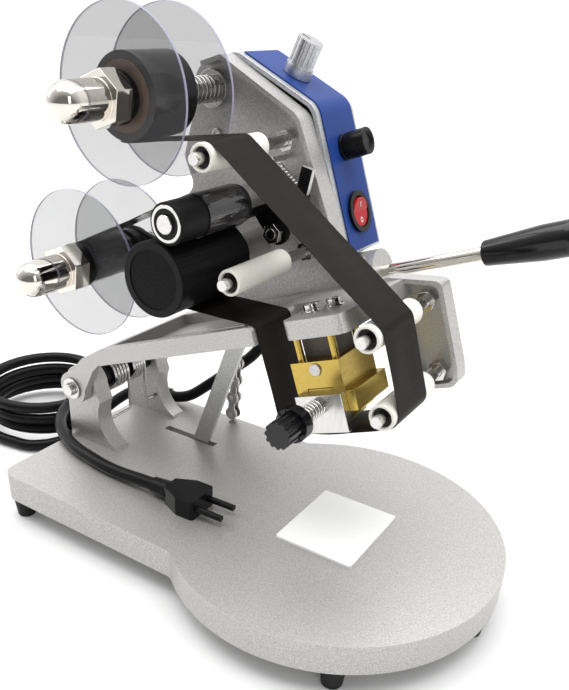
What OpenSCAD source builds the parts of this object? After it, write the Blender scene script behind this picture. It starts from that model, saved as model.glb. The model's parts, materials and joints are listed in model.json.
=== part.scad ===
// Hot foil date coder: a hand press that prints from a heated type head through a foil ribbon.
// X runs from the pivot to the round platform, Y away from the operator's side, Z up.

/* [Base casting] */
// Radius of the round platform
platform_r = 95; // [88:1:110]
// Height of the platform's top face above the table
base_top = 32; // [28:1:36]
// Height of the casting's rim
rim_h = 18; // [14:1:20]
// Width of the straight rear part
base_w = 147; // [135:1:160]
// Distance from the platform's centre to the rear edge
base_rear = 196; // [194:1:220]
// Radius of the two rear corners
base_corner_r = 9; // [4:1:20]
// Radius of the hollows where the straight sides meet the platform
waist_r = 10; // [6:1:20]
// Thickness of the casting's top
base_skin = 6; // [4:0.5:8]
// Thickness of the casting's rim wall
base_wall = 6; // [4:0.5:8]
// Thickness of the near upright
upright_near_t = 12; // [8:0.5:14]
// Thickness of the far upright
upright_far_t = 11; // [8:0.5:14]
// Clear width between the uprights
upright_gap = 47; // [44:1:52]
// Radius of the uprights' round heads
upright_r = 12.5; // [10:0.5:13]
// Reach of the uprights' feet in front of their necks
upright_foot = 15; // [8:1:20]
// Radius of the uprights' hollow front edge
flank_r = 22; // [16:1:30]
// Length of the slot for the limit bar
slot_l = 42; // [34:1:46]
// Width of the slot for the limit bar
slot_w = 5; // [4.5:0.5:7]

/* [Pad and feet] */
// Length of the printing pad along X
pad_l = 47; // [40:1:60]
// Width of the printing pad along Y
pad_w = 57; // [40:1:70]
// Height of the pad above the platform
pad_proud = 1.5; // [1:0.1:1.8]
// Depth of the pad's seat in the platform
pad_seat = 1.5; // [1:0.1:2.5]
// Radius of the rubber feet
foot_r = 7; // [6:0.5:9]
// Radius of the foot screws
foot_screw_r = 2; // [1.5:0.5:3]

/* [Pivot] */
// Height of the pivot above the table
pivot_z = 73; // [71:0.5:75]
// Distance of the pivot behind the platform's centre
pivot_back = 183; // [181:1:184]
// Radius of the pivot shaft
pivot_r = 4; // [3:0.5:5]
// Angle of the raised arm above level
arm_tilt = 20.3; // [14:0.1:22]
// Diameter of the torsion springs' wire
torsion_wire_d = 2.1; // [1.5:0.1:2.4]
// Outer radius of the torsion springs
torsion_r = 12; // [9:0.5:12]
// Number of curls of each torsion spring
torsion_curls = 5; // [3:1:6]
// Width of the flat limit bar
bar_w = 11; // [8:0.5:12]
// Thickness of the flat limit bar
bar_t = 3; // [2:0.5:3.5]

/* [Arm casting] */
// Level of the arm's top face above the pivot
arm_top = 22; // [20:0.5:24]
// Height of the arm's rails
rail_h = 10; // [8:0.5:12]
// Reach of the rails in front of the pivot
rail_reach = 152; // [150:1:154]
// Start of the tray in front of the pivot
tray_start = 37; // [30:1:44]
// Thickness of the rails
rail_t = 6; // [4:0.5:8]
// Thickness of the tray's floor
tray_floor = 3; // [2:0.5:5]
// Radius of the pivot lugs
lug_r = 10.5; // [8:0.5:12]
// Thickness of the side plate
web_t = 3; // [2:0.5:5]
// Depth of the side plate's rim
rim_depth = 13; // [6:0.5:15]
// Thickness of the side plate's rim
rim_t = 2.5; // [1.5:0.5:4]
// Length of the head flange along the arm
flange_l = 36; // [32:1:40]
// Width of the gap that the ribbon goes down through
ribbon_gap = 18; // [12:1:18]
// Height of the slope's line, measured as the sum of both arm coordinates
slope_sum = 285; // [280:1:290]
// Reach of the side plate's front edge from the pivot
front_a = 168; // [166:1:171]
// Radius of the bend between slope and front edge
front_r = 12; // [6:1:24]

/* [Reels] */
// Radius of the clear reel discs
disc_r = 41.5; // [36:0.5:43]
// Thickness of the clear reel discs
disc_t = 1.6; // [1:0.1:2.5]
// Gap between the two discs of a reel
disc_gap = 35; // [34:0.5:36]
// Radius of the new ribbon roll
supply_roll_r = 20.5; // [17.5:0.5:24]
// Radius of the used ribbon roll
takeup_roll_r = 11.5; // [10:0.5:14]
// Outer radius of a reel's core
core_r = 16.5; // [15:0.5:17]
// Radius of the reel spindles
spindle_r = 5; // [4:0.5:6]
// Radius of the cap nuts' domes
dome_r = 9.5; // [8:0.5:11]
// Width across the flats of the cap nuts
cap_flats = 24; // [20:0.5:26]
// Length of the cap nuts
cap_l = 40; // [30:1:44]
// Width of the ribbon
ribbon_w = 33; // [30:0.5:34]
// Thickness of the ribbon
ribbon_t = 0.5; // [0.4:0.1:0.8]

/* [Rollers] */
// Radius of the white guide rollers
guide_r = 6.8; // [5:0.2:7.6]
// Length of the white guide rollers
guide_l = 49; // [40:1:50]
// Radius of the guide rollers' axle bolts
axle_r = 3; // [2:0.5:3.5]
// Radius of the large drive roller
drive_r = 19.5; // [19:0.1:19.8]
// Radius of the pinch roller
pinch_r = 10.3; // [9.8:0.1:10.4]
// Length of the drive roller and of the pinch roller
press_l = 58; // [55:1:60]
// Thickness of the rubber on the drive roller
drive_rubber_t = 4; // [2:0.5:6]

/* [Housing] */
// Depth of the electronics housing
housing_depth = 40; // [36:1:44]
// Thickness of the housing's walls
housing_wall = 2.5; // [2:0.5:3]
// Thickness of the back cover
cover_t = 1.5; // [1:0.5:2.5]
// Width of the control panel
panel_w = 34; // [30:1:35]
// Thickness of the control panel
panel_t = 0.8; // [0.5:0.1:1]
// Radius of the temperature knob
knob_r = 8; // [7:0.5:9]
// Height of the temperature knob
knob_h = 20; // [16:1:22]
// Radius of the fuse holder's cap
fuse_cap_r = 7.2; // [6:0.2:8]
// Radius of the power switch's bezel
bezel_r = 11.5; // [10:0.5:12.5]

/* [Handle] */
// Radius of the handle rod
rod_r = 4; // [3:0.5:5]
// Reach of the handle's end from the pivot
handle_reach = 287; // [270:1:300]
// Length of the handle grip
grip_l = 50; // [40:1:60]
// Radius of the handle grip at its end
grip_r = 9.2; // [8:0.2:11]

/* [Print head] */
// Length of the heater block along the arm
heater_l = 28; // [24:1:30]
// Width of the heater block along Y
heater_w = 34; // [30:1:36]
// Height of the heater block
heater_h = 16; // [12:0.5:17]
// Height of the type holder
holder_h = 17; // [12:0.5:18]
// Height by which the type stands below its holder
type_h = 4; // [2:0.5:4.4]
// Radius of the clamp knob's grip
clamp_knob_r = 7; // [6:0.5:8]
// Radius of the clamp screw
clamp_screw_r = 2.5; // [2:0.25:3]

/* [Power cord] */
// Diameter of the power cord
cord_d = 8; // [7:0.5:8.5]
// Number of turns of the loose coil
coil_turns = 4; // [3:1:5]

/* [Hidden] */
$fn = 64;

// Radial play of shafts that turn, play of fixed fasteners, and the gap between curved pieces
run_fit = 0.06;
fix_fit = 0.05;
gap = 0.3;
// Overrun of every cut past the face it opens
over = 1;

// Radius of the small screws
small_screw_r = 1.5;

// Where the reels, the rollers and the lever sit on the arm: reach and level from the pivot
supply_a = 110.5;
supply_c = 142.8;
takeup_a = 43.5;
takeup_c = 71.8;
drive_a = 113.8;
drive_c = 56.3;
nip_angle = 51.3;
guide1_a = 150;
guide1_c = 104.7;
guide2_a = 146.3;
guide2_c = 45.4;
guide3_reach = 63.5;
guide3_a = rail_reach + guide3_reach;
guide3_c = 8.3;
guide4_reach = 62.3;
guide4_a = rail_reach + guide4_reach;
guide4_c = -30.2;
lever_a = 140.4;
lever_c = 60.2;
supply_at = [supply_a, supply_c];
takeup_at = [takeup_a, takeup_c];
drive_at = [drive_a, drive_c];
ribbon_clear = 0.25;
nip_slack = 0.05;
pinch_at = drive_at + (drive_r + pinch_r + 2 * ribbon_clear + ribbon_t + nip_slack)
    * [cos(nip_angle), sin(nip_angle)];
guide_at = [[guide1_a, guide1_c], [guide2_a, guide2_c], [guide3_a, guide3_c], [guide4_a, guide4_c]];
lever_at = [lever_a, lever_c];

// Levels across the machine, from the near upright's inner face
upright_inner_y = -1;
upright_far_y = upright_inner_y + upright_gap;
side_gap = 0.5;
lug_t = 6.5;
near_lug_y1 = upright_inner_y - upright_near_t - side_gap;
near_lug_y0 = near_lug_y1 - lug_t;
far_lug_y0 = upright_far_y + upright_far_t + side_gap;
far_lug_y1 = far_lug_y0 + lug_t;
web_y0 = 59;
web_y1 = web_y0 + web_t;
housing_y1 = web_y1 + housing_depth;
cover_y1 = housing_y1 + cover_t;
panel_y = web_y1 + (housing_depth + housing_wall) / 2;
axis_y = panel_y;

// The model's origin: the middle of the machine's footprint
rear_x = min(-base_rear, -pivot_back + takeup_a * cos(arm_tilt) - takeup_c * sin(arm_tilt) - disc_r);
origin_x = (platform_r + rear_x) / 2;
origin_y = (cover_y1 + small_screw_r - platform_r) / 2;

module place() translate([-origin_x, -origin_y, 0]) children();
module on_arm() place() translate([-pivot_back, 0, pivot_z]) rotate([0, -arm_tilt, 0]) children();
module at(p) translate([p[0], 0, p[1]]) children();
// A rod or a hole along Y
module along_y(r, y0, y1, n = $fn) translate([0, y0, 0]) rotate([-90, 0, 0])
    cylinder(h = y1 - y0, r = r, $fn = n);
// A side outline given thickness along Y
module slab(y0, y1) translate([0, y1, 0]) rotate([90, 0, 0]) linear_extrude(y1 - y0) children();
// A ring about an axis along Y
module ring_y(outer, inner, y0, y1) difference() {
    along_y(outer, y0, y1);
    along_y(inner, y0 - over, y1 + over);
}
module hex_nut_y(flats, bore, y0, y1) difference() {
    along_y(flats / sqrt(3), y0, y1, 6);
    along_y(bore, y0 - over, y1 + over);
}
// A socket head screw along Z whose head stands on the origin
module cap_screw(shank_r, shank_l, head_r, head_h) difference() {
    union() {
        cylinder(h = head_h, r = head_r);
        translate([0, 0, -shank_l]) cylinder(h = shank_l, r = shank_r);
    }
    translate([0, 0, head_h / 2]) cylinder(h = head_h, r = head_r / 2, $fn = 6);
}

// Outlines with rounded corners: each point is [x, y] and each radius belongs to one corner
function unit(v) = v / norm(v);
function turn(v) = [-v[1], v[0]];
function arc(centre, r, from, to, steps) =
    [for (i = [0 : steps]) let (s = from + (to - from) * i / steps) centre + r * [cos(s), sin(s)]];
function corner(a, b, c, r, steps) =
    let (u = unit(a - b), v = unit(c - b), half = acos(max(-1, min(1, u * v))) / 2,
        reach = min(r / tan(half), 0.49 * min(norm(a - b), norm(c - b))), radius = reach * tan(half),
        centre = b + unit(u + v) * radius / sin(half), s = b + u * reach - centre,
        e = b + v * reach - centre, s0 = atan2(s[1], s[0]), swing = atan2(s[0] * e[1] - s[1] * e[0], s * e))
    r <= 0 ? [b] : arc(centre, radius, s0, s0 + swing, steps);
function rounded(p, r, steps = 8) = [for (i = [0 : len(p) - 1])
    each corner(p[(i + len(p) - 1) % len(p)], p[i], p[(i + 1) % len(p)], is_list(r) ? r[i] : r, steps)];
// An outline drawn anticlockwise, moved inwards by d
function inset(p, d) = [for (i = [0 : len(p) - 1])
    let (n = turn(unit(p[i] - p[(i + len(p) - 1) % len(p)])), m = turn(unit(p[(i + 1) % len(p)] - p[i])))
    p[i] + d * (n + m) / (1 + n * m)];

// A strip wrapped round circles [centre, radius, side]: side 1 keeps the circle on the left
function heading(p, q) = let (d = q[0] - p[0])
    atan2(d[1], d[0]) + asin((p[2] * p[1] - q[2] * q[1]) / norm(d));
function wrap(circle, in, out, steps) = let (side = circle[2], s0 = in - 90 * side,
    swing = side * (((side * (out - in)) % 360 + 360) % 360))
    circle[1] <= 0 ? [circle[0]] : arc(circle[0], circle[1], s0, s0 + swing, steps);
function strip(circles, steps) = [for (i = [1 : len(circles) - 2])
    each wrap(circles[i], heading(circles[i - 1], circles[i]), heading(circles[i], circles[i + 1]), steps)];
function band(p, t) = let (n = [for (i = [0 : len(p) - 1])
    turn(unit(p[min(i + 1, len(p) - 1)] - p[max(i - 1, 0)])) * t / 2])
    concat(p + n, [for (i = [len(p) - 1 : -1 : 0]) p[i] - n[i]]);

// A round tube swept along points in space, with flat ends
function tangents(p) = [for (i = [0 : len(p) - 1])
    unit(p[min(i + 1, len(p) - 1)] - p[max(i - 1, 0)])];
function frames(t, i, n) = i == len(t) ? [] :
    let (m = unit(n - (n * t[i]) * t[i])) concat([m], frames(t, i + 1, m));
module tube(p, r, sides, start) {
    t = tangents(p);
    n = frames(t, 0, start);
    rings = [for (i = [0 : len(p) - 1]) let (b = cross(t[i], n[i]))
        for (k = [0 : sides - 1]) p[i] + r * (cos(360 * k / sides) * n[i] + sin(360 * k / sides) * b)];
    last = (len(p) - 1) * sides;
    polyhedron(rings, concat(
        [[for (k = [0 : sides - 1]) k]],
        [for (i = [0 : len(p) - 2]) for (k = [0 : sides - 1]) let (a = i * sides + k,
            b = i * sides + (k + 1) % sides) each [[a, a + sides, b], [b, a + sides, b + sides]]],
        [[for (k = [sides - 1 : -1 : 0]) last + k]]));
}
// Smooth points through a route chosen by hand
function bend(a, b, c, d, s) = 0.5 * ((2 * b) + (c - a) * s + (2 * a - 5 * b + 4 * c - d) * s * s
    + (3 * b - a - 3 * c + d) * s * s * s);
function smooth(p, steps) = concat([for (i = [0 : len(p) - 2]) for (k = [0 : steps - 1])
    bend(p[max(i - 1, 0)], p[i], p[i + 1], p[min(i + 2, len(p) - 1)], k / steps)], [p[len(p) - 1]]);

// Springs: rings in one curl, sides of the wire
curl_rings = 8;
wire_sides = 6;
// A spring's centre line along Y from y0 to y1, starting at one angle, with straight ends
function curls(r, y0, y1, count, from, wire) = let (n = round(count * curl_rings),
    at_angle = function (s) [r * cos(s), 0, r * sin(s)], along = function (s) [-sin(s), 0, cos(s)],
    to = from + 360 * count)
    concat([at_angle(from) - wire * along(from) + [0, y0, 0]],
        [for (i = [0 : n]) at_angle(from + (to - from) * i / n) + [0, y0 + (y1 - y0) * i / n, 0]],
        [at_angle(to) + wire * along(to) + [0, y1, 0]]);

// Base casting: a round platform with a straight rear part, hollow from below
foot_h = base_top - rim_h;
module base_outline(d = 0) {
    fillet_y = base_w / 2 + waist_r;
    fillet_x = sqrt(pow(platform_r + waist_r, 2) - pow(fillet_y, 2));
    circle(platform_r - d, $fn = 180);
    translate([-base_rear + d, -base_w / 2 + d]) polygon(rounded([[0, 0],
        [base_rear - d, 0], [base_rear - d, base_w - 2 * d], [0, base_w - 2 * d]],
        [base_corner_r, 0, 0, base_corner_r]));
    for (side = [-1, 1]) scale([1, side]) polygon(concat([[0, 0], [-fillet_x, 0]],
        arc([-fillet_x, fillet_y], waist_r + d, -90, -atan2(fillet_y, fillet_x), 8)));
}
upright_front = -pivot_back + upright_r;
module upright_outline() {
    foot_front = -pivot_back + upright_r + upright_foot;
    rear = -base_rear + fix_fit;
    translate([-pivot_back, pivot_z]) circle(upright_r);
    difference() {
        polygon([[rear, base_top - base_skin / 2], [foot_front, base_top - base_skin / 2],
            [foot_front, base_top], [upright_front, pivot_z], [-pivot_back - upright_r, pivot_z]]);
        translate([foot_front + flank_r - upright_foot + over, base_top + flank_r]) circle(flank_r);
    }
}
module base_casting() color("silver") place() difference() {
    union() {
        translate([0, 0, foot_h]) linear_extrude(rim_h) base_outline();
        slab(upright_inner_y - upright_near_t, upright_inner_y) upright_outline();
        slab(upright_far_y, upright_far_y + upright_far_t) upright_outline();
    }
    difference() {
        translate([0, 0, foot_h - over]) linear_extrude(rim_h - base_skin + over) base_outline(base_wall);
        for (p = feet_at) translate([p[0], p[1], 0]) cylinder(h = base_top, r = foot_inset);
    }
    for (p = feet_at) translate([p[0], p[1], foot_h - over])
        cylinder(h = foot_screw_l + 2 * over, r = foot_screw_r + fix_fit);
    translate([pad_x, 0, base_top - pad_seat]) linear_extrude(pad_seat + over) pad_outline(fix_fit);
    translate([slot_x, bar_y, base_top - base_skin - over]) linear_extrude(base_skin + 2 * over)
        square([slot_l, slot_w], center = true);
    translate([-pivot_back, 0, pivot_z])
        along_y(pivot_r + fix_fit, upright_inner_y - upright_near_t - over,
            upright_far_y + upright_far_t + over);
    for (side = [0, 1]) translate([leg_x, side == 0 ? upright_inner_y - leg_hole : upright_far_y, leg_z])
        along_y(torsion_wire_d / 2 + gap, -side * over, leg_hole + (1 - side) * over);
    translate([anchor_at[0], anchor_at[1], base_top - base_skin - over])
        cylinder(h = base_skin + 2 * over, r = small_screw_r + fix_fit);
}
pad_x = 2;
slot_x = -130.5;
bar_y = 33.5;
leg_hole = 4;
module pad_outline(d = 0) translate([-pad_l / 2 - d, -pad_w / 2 - d])
    polygon(rounded([[0, 0], [pad_l + 2 * d, 0], [pad_l + 2 * d, pad_w + 2 * d],
        [0, pad_w + 2 * d]], pad_proud));
module print_pad() color("white") place() translate([pad_x, 0, base_top - pad_seat])
    linear_extrude(pad_seat + pad_proud) pad_outline();

// Feet screwed to bosses inside the rim
foot_edge = 1.5;
foot_inset = foot_r + foot_edge;
foot_turn = 60;
feet_at = [for (side = [-1, 1]) each [[-base_rear + foot_inset, side * (base_w / 2 - foot_inset)],
    (platform_r - foot_inset) * [cos(foot_turn), side * sin(foot_turn)]], [platform_r - foot_inset, 0]];
foot_hollow = 5;
foot_screw_l = rim_h - base_skin - foot_edge;
module rubber_feet() color([0.08, 0.08, 0.08]) place() for (p = feet_at) translate([p[0], p[1], 0])
    difference() {
        cylinder(h = foot_h, r1 = foot_r - foot_edge, r2 = foot_r);
        translate([0, 0, -over]) cylinder(h = foot_hollow + over, r = 2 * foot_screw_r + fix_fit);
        cylinder(h = base_top, r = foot_screw_r + fix_fit);
    }
module foot_screws() color("silver") place() for (p = feet_at)
    translate([p[0], p[1], foot_hollow]) mirror([0, 0, 1])
        cap_screw(foot_screw_r, foot_h - foot_hollow + foot_screw_l, 2 * foot_screw_r, foot_screw_r);

// Pivot shaft with a retaining ring at each end
shaft_end = 5;
retainer_w = 3;
shaft_y0 = near_lug_y0 - shaft_end;
shaft_y1 = far_lug_y1 + shaft_end;
ring_t = 1.2;
module pivot_shaft() color("silver") place() translate([-pivot_back, 0, pivot_z]) {
    along_y(pivot_r, shaft_y0, shaft_y1);
    ring_y(pivot_r + retainer_w, pivot_r + fix_fit, near_lug_y0 - side_gap - ring_t, near_lug_y0 - side_gap);
    ring_y(pivot_r + retainer_w, pivot_r + fix_fit, far_lug_y1 + side_gap, far_lug_y1 + side_gap + ring_t);
}
sleeve_r = (torsion_r - torsion_wire_d / 2) * cos(180 / curl_rings) - torsion_wire_d / 2 - gap;
module spring_sleeve() color([0.1, 0.1, 0.1]) place() translate([-pivot_back, 0, pivot_z])
    ring_y(sleeve_r, pivot_r + fix_fit, upright_inner_y + gap, upright_far_y - gap);

// Torsion springs: one wire each, from a hole in an upright, round the sleeve and under the arm
leg_x = -pivot_back + torsion_r - torsion_wire_d / 2;
leg_z = 46;
spring_r = torsion_r - torsion_wire_d / 2;
arm_leg_angle = 320;
module torsion_spring(y0, y1, wall_y) {
    n = round((torsion_curls + arm_leg_angle / 360 - 1) * curl_rings);
    leg = (arm_top - rail_h - torsion_wire_d) / sin(60);
    last = arm_leg_angle;
    side = sign(wall_y - y0);
    tube(concat([[spring_r, wall_y, leg_z - pivot_z], [spring_r, y0 + side * torsion_wire_d, leg_z - pivot_z],
        [spring_r, y0, leg_z - pivot_z + torsion_wire_d]],
        [for (i = [0 : n]) let (s = last * i / n + 360 * (torsion_curls - 1) * i / n)
            [spring_r * cos(s), y0 + (y1 - y0) * i / n, spring_r * sin(s)]],
        [[spring_r * cos(last) - leg * sin(last), y1, spring_r * sin(last) + leg * cos(last)]]),
        torsion_wire_d / 2, wire_sides, [1, 0, 0]);
}
near_coil_y0 = 20;
near_coil_y1 = 6;
far_coil_y0 = 36;
far_coil_y1 = 24;
module torsion_springs() color("gainsboro") place() translate([-pivot_back, 0, pivot_z]) {
    torsion_spring(near_coil_y0, near_coil_y1, upright_inner_y - leg_hole / 2);
    torsion_spring(far_coil_y0, far_coil_y1, upright_far_y + leg_hole / 2);
}

// Feed chain: side plates and pins from the base up to the sprocket
chain_pitch = 12.7;
chain_y = 68.5;
chain_links = 9;
chain_lean = 3;
anchor_at = [-119.8, chain_y];
anchor_lift = 7;
anchor_z = base_top + anchor_lift;
plate_l = 9;
chain_pin_r = 1.6;
plate_t = 1;
chain_half = 2.9;
module chain_anchor() color("silver") place() translate([anchor_at[0], anchor_at[1], 0]) {
    translate([0, 0, base_top - base_skin]) cylinder(h = base_skin, r = small_screw_r);
    difference() {
        union() {
            translate([0, 0, base_top]) cylinder(h = small_screw_r, r = chain_half);
            translate([-small_screw_r, -small_screw_r / 2, base_top])
                cube([2 * small_screw_r, small_screw_r, anchor_z - base_top]);
            translate([0, 0, anchor_z]) along_y(2 * chain_pin_r, -small_screw_r / 2, small_screw_r / 2);
        }
        translate([0, 0, anchor_z]) along_y(chain_pin_r + run_fit, -chain_half, chain_half);
    }
}
module chain_plate(y0) difference() {
    union() {
        for (end = [0, 1]) translate([0, 0, end * chain_pitch]) along_y(plate_l / 2, y0, y0 + plate_t);
        translate([-chain_pin_r, y0, 0]) cube([2 * chain_pin_r, plate_t, chain_pitch]);
    }
    for (end = [0, 1]) translate([0, 0, end * chain_pitch])
        along_y(chain_pin_r + fix_fit, y0 - over, y0 + plate_t + over);
}
module feed_chain() color("silver") place() translate([anchor_at[0], chain_y, anchor_z])
    rotate([0, chain_lean, 0]) for (k = [0 : chain_links - 1]) translate([0, 0, k * chain_pitch]) {
        side = k % 2 * (plate_t + fix_fit);
        chain_plate(-chain_half + side);
        chain_plate(chain_half - plate_t - side);
        along_y(chain_pin_r, -chain_half - plate_t / 2, chain_half + plate_t / 2);
        if (k == chain_links - 1) translate([0, 0, chain_pitch])
            along_y(chain_pin_r, -chain_half - plate_t / 2, chain_half + plate_t / 2);
    }

// Arm casting: rails and tray, side plate, head flange, front bracket and handle boss
rail_c = arm_top - rail_h;
rail_y0 = near_lug_y0;
rail_y1 = web_y1;
flange_a = rail_reach + ribbon_gap;
flange_c = rail_c + side_gap;
strip_y = 24;
bracket_y0 = 52.5;
bracket_t = 6;
bracket_rim = 5.5;
lobe_r = 14;
slope_inset = 3;
web_screw_a = 103.6;
web_screw_c = 120.2;
boss_r = 13.5;
boss_a = 140;
boss_l = 37;
boss_y = axis_y;
bar_top_a = 100;
bar_top_c = rail_c - bar_w / 2 - side_gap;
bar_slope = 49.7;
bar_reach = 98;
lug_reach = 24;
module lug_outline() {
    circle(lug_r);
    polygon([[-0.9 * lug_r * cos(30), 0.9 * lug_r * sin(30)], [lug_reach - rail_t, arm_top - pivot_r],
        [tray_start, arm_top], [tray_start + rail_t, arm_top], [tray_start + rail_t, rail_c],
        [lug_reach + rail_t, rail_c], [lug_reach, rail_c - tray_floor],
        [0.9 * lug_r * cos(30), -0.9 * lug_r * sin(30)]]);
}
// Side plate: rail, an arm to each reel, and the sloped front
web_points = [[tray_start + rail_h, rail_c], [front_a + tray_floor, rail_c], [front_a + over, drive_c],
    [front_a - slope_inset, slope_sum - front_a - slope_inset],
    [slope_sum - slope_inset - supply_c - lobe_r + over, supply_c + lobe_r - over],
    [supply_a, supply_c + lobe_r],
    [supply_a - lobe_r, supply_c], [supply_a - 2.5 * lobe_r, supply_c - 2 * lobe_r],
    [supply_a - 2.4 * lobe_r, supply_c - 3.3 * lobe_r], [takeup_a + lobe_r / 2, takeup_c + 0.9 * lobe_r],
    [takeup_a, takeup_c + lobe_r], [takeup_a, takeup_c - lobe_r],
    [takeup_a + 1.3 * lobe_r, drive_c - lobe_r]];
module web_outline() {
    polygon(rounded(web_points, [0, 0, 0, front_r, lobe_r / 2, 0, 0, lobe_r / 2, lobe_r / 2, lobe_r / 2,
        0, 0, lobe_r / 2]));
    at2(supply_at) circle(lobe_r + over);
    at2(takeup_at) circle(lobe_r);
}
module at2(p) translate(p) children();
module web_rim() difference() {
    polygon(rounded(web_points, [0, 0, 0, front_r, 0, 0, 0, 0, 0, 0, 0, 0, 0]));
    polygon(rounded(inset(web_points, rim_t), [0, 0, 0, front_r - rim_t, 0, 0, 0, 0, 0, 0, 0, 0, 0]));
    square([2 * (web_points[4][0] - lobe_r), 4 * front_a], center = true);
    square([4 * front_a, 2 * arm_top + 2 * rim_t], center = true);
}
bracket_edge = 3;
bracket_step = 2;
bracket_points = [[flange_a + flange_l - lobe_r / 2, flange_c], [guide3_a - lobe_r + over, guide4_c],
    [guide4_a - lobe_r / 2, guide4_c - lobe_r / 1.5],
    [guide4_a + lobe_r - bracket_edge, guide4_c - lobe_r / 1.5],
    [guide3_a + lobe_r - bracket_edge, guide4_c + bracket_step],
    [guide3_a + lobe_r - bracket_edge, arm_top - lobe_r / 3],
    [guide3_a - lobe_r - 2 * bracket_step, arm_top + bracket_step],
    [flange_a + flange_l - 2 * lobe_r, arm_top]];
bracket_radii = [0, lobe_r / 3, lobe_r / 2, lobe_r / 2, 0, lobe_r / 3, lobe_r / 4, 0];
module arm_casting() color("silver") on_arm() difference() {
    union() {
        slab(near_lug_y0, near_lug_y1) lug_outline();
        slab(far_lug_y0, far_lug_y1) lug_outline();
        // Rails, cross bars and the tray's floor
        translate([tray_start, rail_y0, rail_c]) cube([rail_reach - rail_h / 2 - tray_start, rail_t, rail_h]);
        translate([tray_start, web_y0 - rail_t, rail_c])
            cube([flange_a - tray_start, rail_y1 - web_y0 + rail_t, rail_h]);
        translate([lug_reach, rail_y0, rail_c]) cube([rail_reach - lug_reach, rail_y1 - rail_y0, tray_floor]);
        slab(rail_y0, rail_y1) polygon([[lug_reach, rail_c], [tray_start + rail_t, rail_c],
            [tray_start + rail_t, arm_top], [tray_start, arm_top]]);
        slab(rail_y0, rail_y1) polygon(rounded([[rail_reach - rail_h, rail_c], [rail_reach, rail_c],
            [rail_reach, arm_top], [rail_reach - rail_h, arm_top]], [0, bend_r / 3, bend_r, bend_r / 3]));
        translate([rail_reach - over, strip_y, flange_c])
            cube([ribbon_gap + 2 * over, rail_y1 - strip_y, arm_top - flange_c]);
        // Head flange
        translate([flange_a, 0, flange_c]) linear_extrude(arm_top - flange_c)
            polygon(rounded([[0, rail_y0], [flange_l, rail_y0], [flange_l, bracket_y0 + bracket_t],
                [0, bracket_y0 + bracket_t]], [rail_t, rail_t, 0, 0]));
        slab(web_y0, web_y1) web_outline();
        slab(web_y1 - rim_depth, web_y1) web_rim();
        // Front bracket: a plate with a rim towards the operator
        slab(bracket_y0, bracket_y0 + bracket_t) polygon(rounded(bracket_points, bracket_radii));
        slab(bracket_y0 - bracket_rim, bracket_y0 + over) difference() {
            polygon(rounded(bracket_points, bracket_radii));
            polygon(rounded(inset(bracket_points, rim_t), bracket_radii));
            at2(guide_at[3]) circle(lobe_r / 2);
        }
        // Boss for the handle
        at([0, arm_top]) translate([boss_a, boss_y, 0]) rotate([0, 90, 0]) cylinder(h = boss_l, r = boss_r);
        translate([boss_a, web_y0, rail_c - over])
            cube([boss_l - rail_t, boss_y - web_y0, rail_h + boss_r - over]);
        // Lug for the limit bar
        translate([bar_top_a - bar_w / 2, bar_y + bar_t / 2 + fix_fit, bar_top_c - bar_w / 2])
            cube([bar_w, tray_floor, rail_c - bar_top_c + bar_w / 2 + over]);
    }
    // Window in the tray
    translate([tray_start + 2 * rail_h, rail_y0 + 3 * rail_t, rail_c - over])
        cube([rail_reach - tray_start - 4 * rail_h, strip_y - rail_y0 - 3 * rail_t, tray_floor + 2 * over]);
    along_y(pivot_r + run_fit, near_lug_y0 - over, far_lug_y1 + over);
    for (p = [supply_at, takeup_at]) at(p) along_y(spindle_r + fix_fit, web_y0 - over, web_y1 + over);
    for (p = guide_at) at(p) along_y(axle_r + fix_fit, bracket_y0 - over, web_y1 + over);
    at(lever_at) along_y(axle_r + fix_fit, web_y0 - over, web_y1 + over);
    at(post_at) along_y(post_r + fix_fit, web_y0 - over, web_y1 + over);
    at(drive_at) along_y(shaft_r + run_fit, web_y0 - over, web_y1 + over);
    at([web_screw_a, web_screw_c]) along_y(small_screw_r + fix_fit, web_y0 - over, web_y1 + over);
    at([bar_top_a, bar_top_c]) along_y(small_screw_r + fix_fit, bar_y, bar_y + 2 * rail_h);
    for (p = flange_screws_at) translate([p[0], p[1], flange_c - over])
        cylinder(h = rail_h + 2 * over, r = flange_screw_r + fix_fit);
    translate([boss_a + over, boss_y, arm_top]) rotate([0, 90, 0]) cylinder(h = boss_l, r = rod_r + fix_fit);
}
bend_r = 3;
post_a = 145;
post_c = 97;
post_at = [post_a, post_c];
post_r = 1.5;
shaft_r = 4;
flange_screw_r = 2;
flange_screws_at = [[flange_a + flange_l / 4, -rail_t / 2], [flange_a + flange_l / 1.9, rail_t / 2]];

// Limit bar: hangs from the arm through the slot; its cross pin stops the arm's rise
module limit_bar() color("lightgray") on_arm() translate([bar_top_a, bar_y, bar_top_c])
    rotate([0, -bar_slope, 0]) {
        difference() {
            union() {
                translate([-bar_reach, -bar_t / 2, -bar_w / 2]) cube([bar_reach, bar_t, bar_w]);
                along_y(bar_w / 2, -bar_t / 2, bar_t / 2);
            }
            along_y(small_screw_r + fix_fit, -bar_t, bar_t);
        }
        translate([-bar_reach + 2 * small_screw_r, 0, 0]) along_y(small_screw_r, -slot_w, slot_w);
    }
module arm_screws() color("silver") on_arm() {
    for (p = flange_screws_at) translate([p[0], p[1], arm_top])
        cap_screw(flange_screw_r, arm_top - flange_c + insulator_h, 1.8 * flange_screw_r,
            2 * flange_screw_r);
    at([web_screw_a, web_screw_c]) translate([0, web_y0, 0]) rotate([90, 0, 0])
        cap_screw(small_screw_r, web_t, 2 * small_screw_r, small_screw_r);
    at([bar_top_a, bar_top_c]) translate([0, bar_y - bar_t / 2, 0]) rotate([90, 0, 0])
        cap_screw(small_screw_r, bar_t + tray_floor, 2 * small_screw_r, small_screw_r);
}

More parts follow.
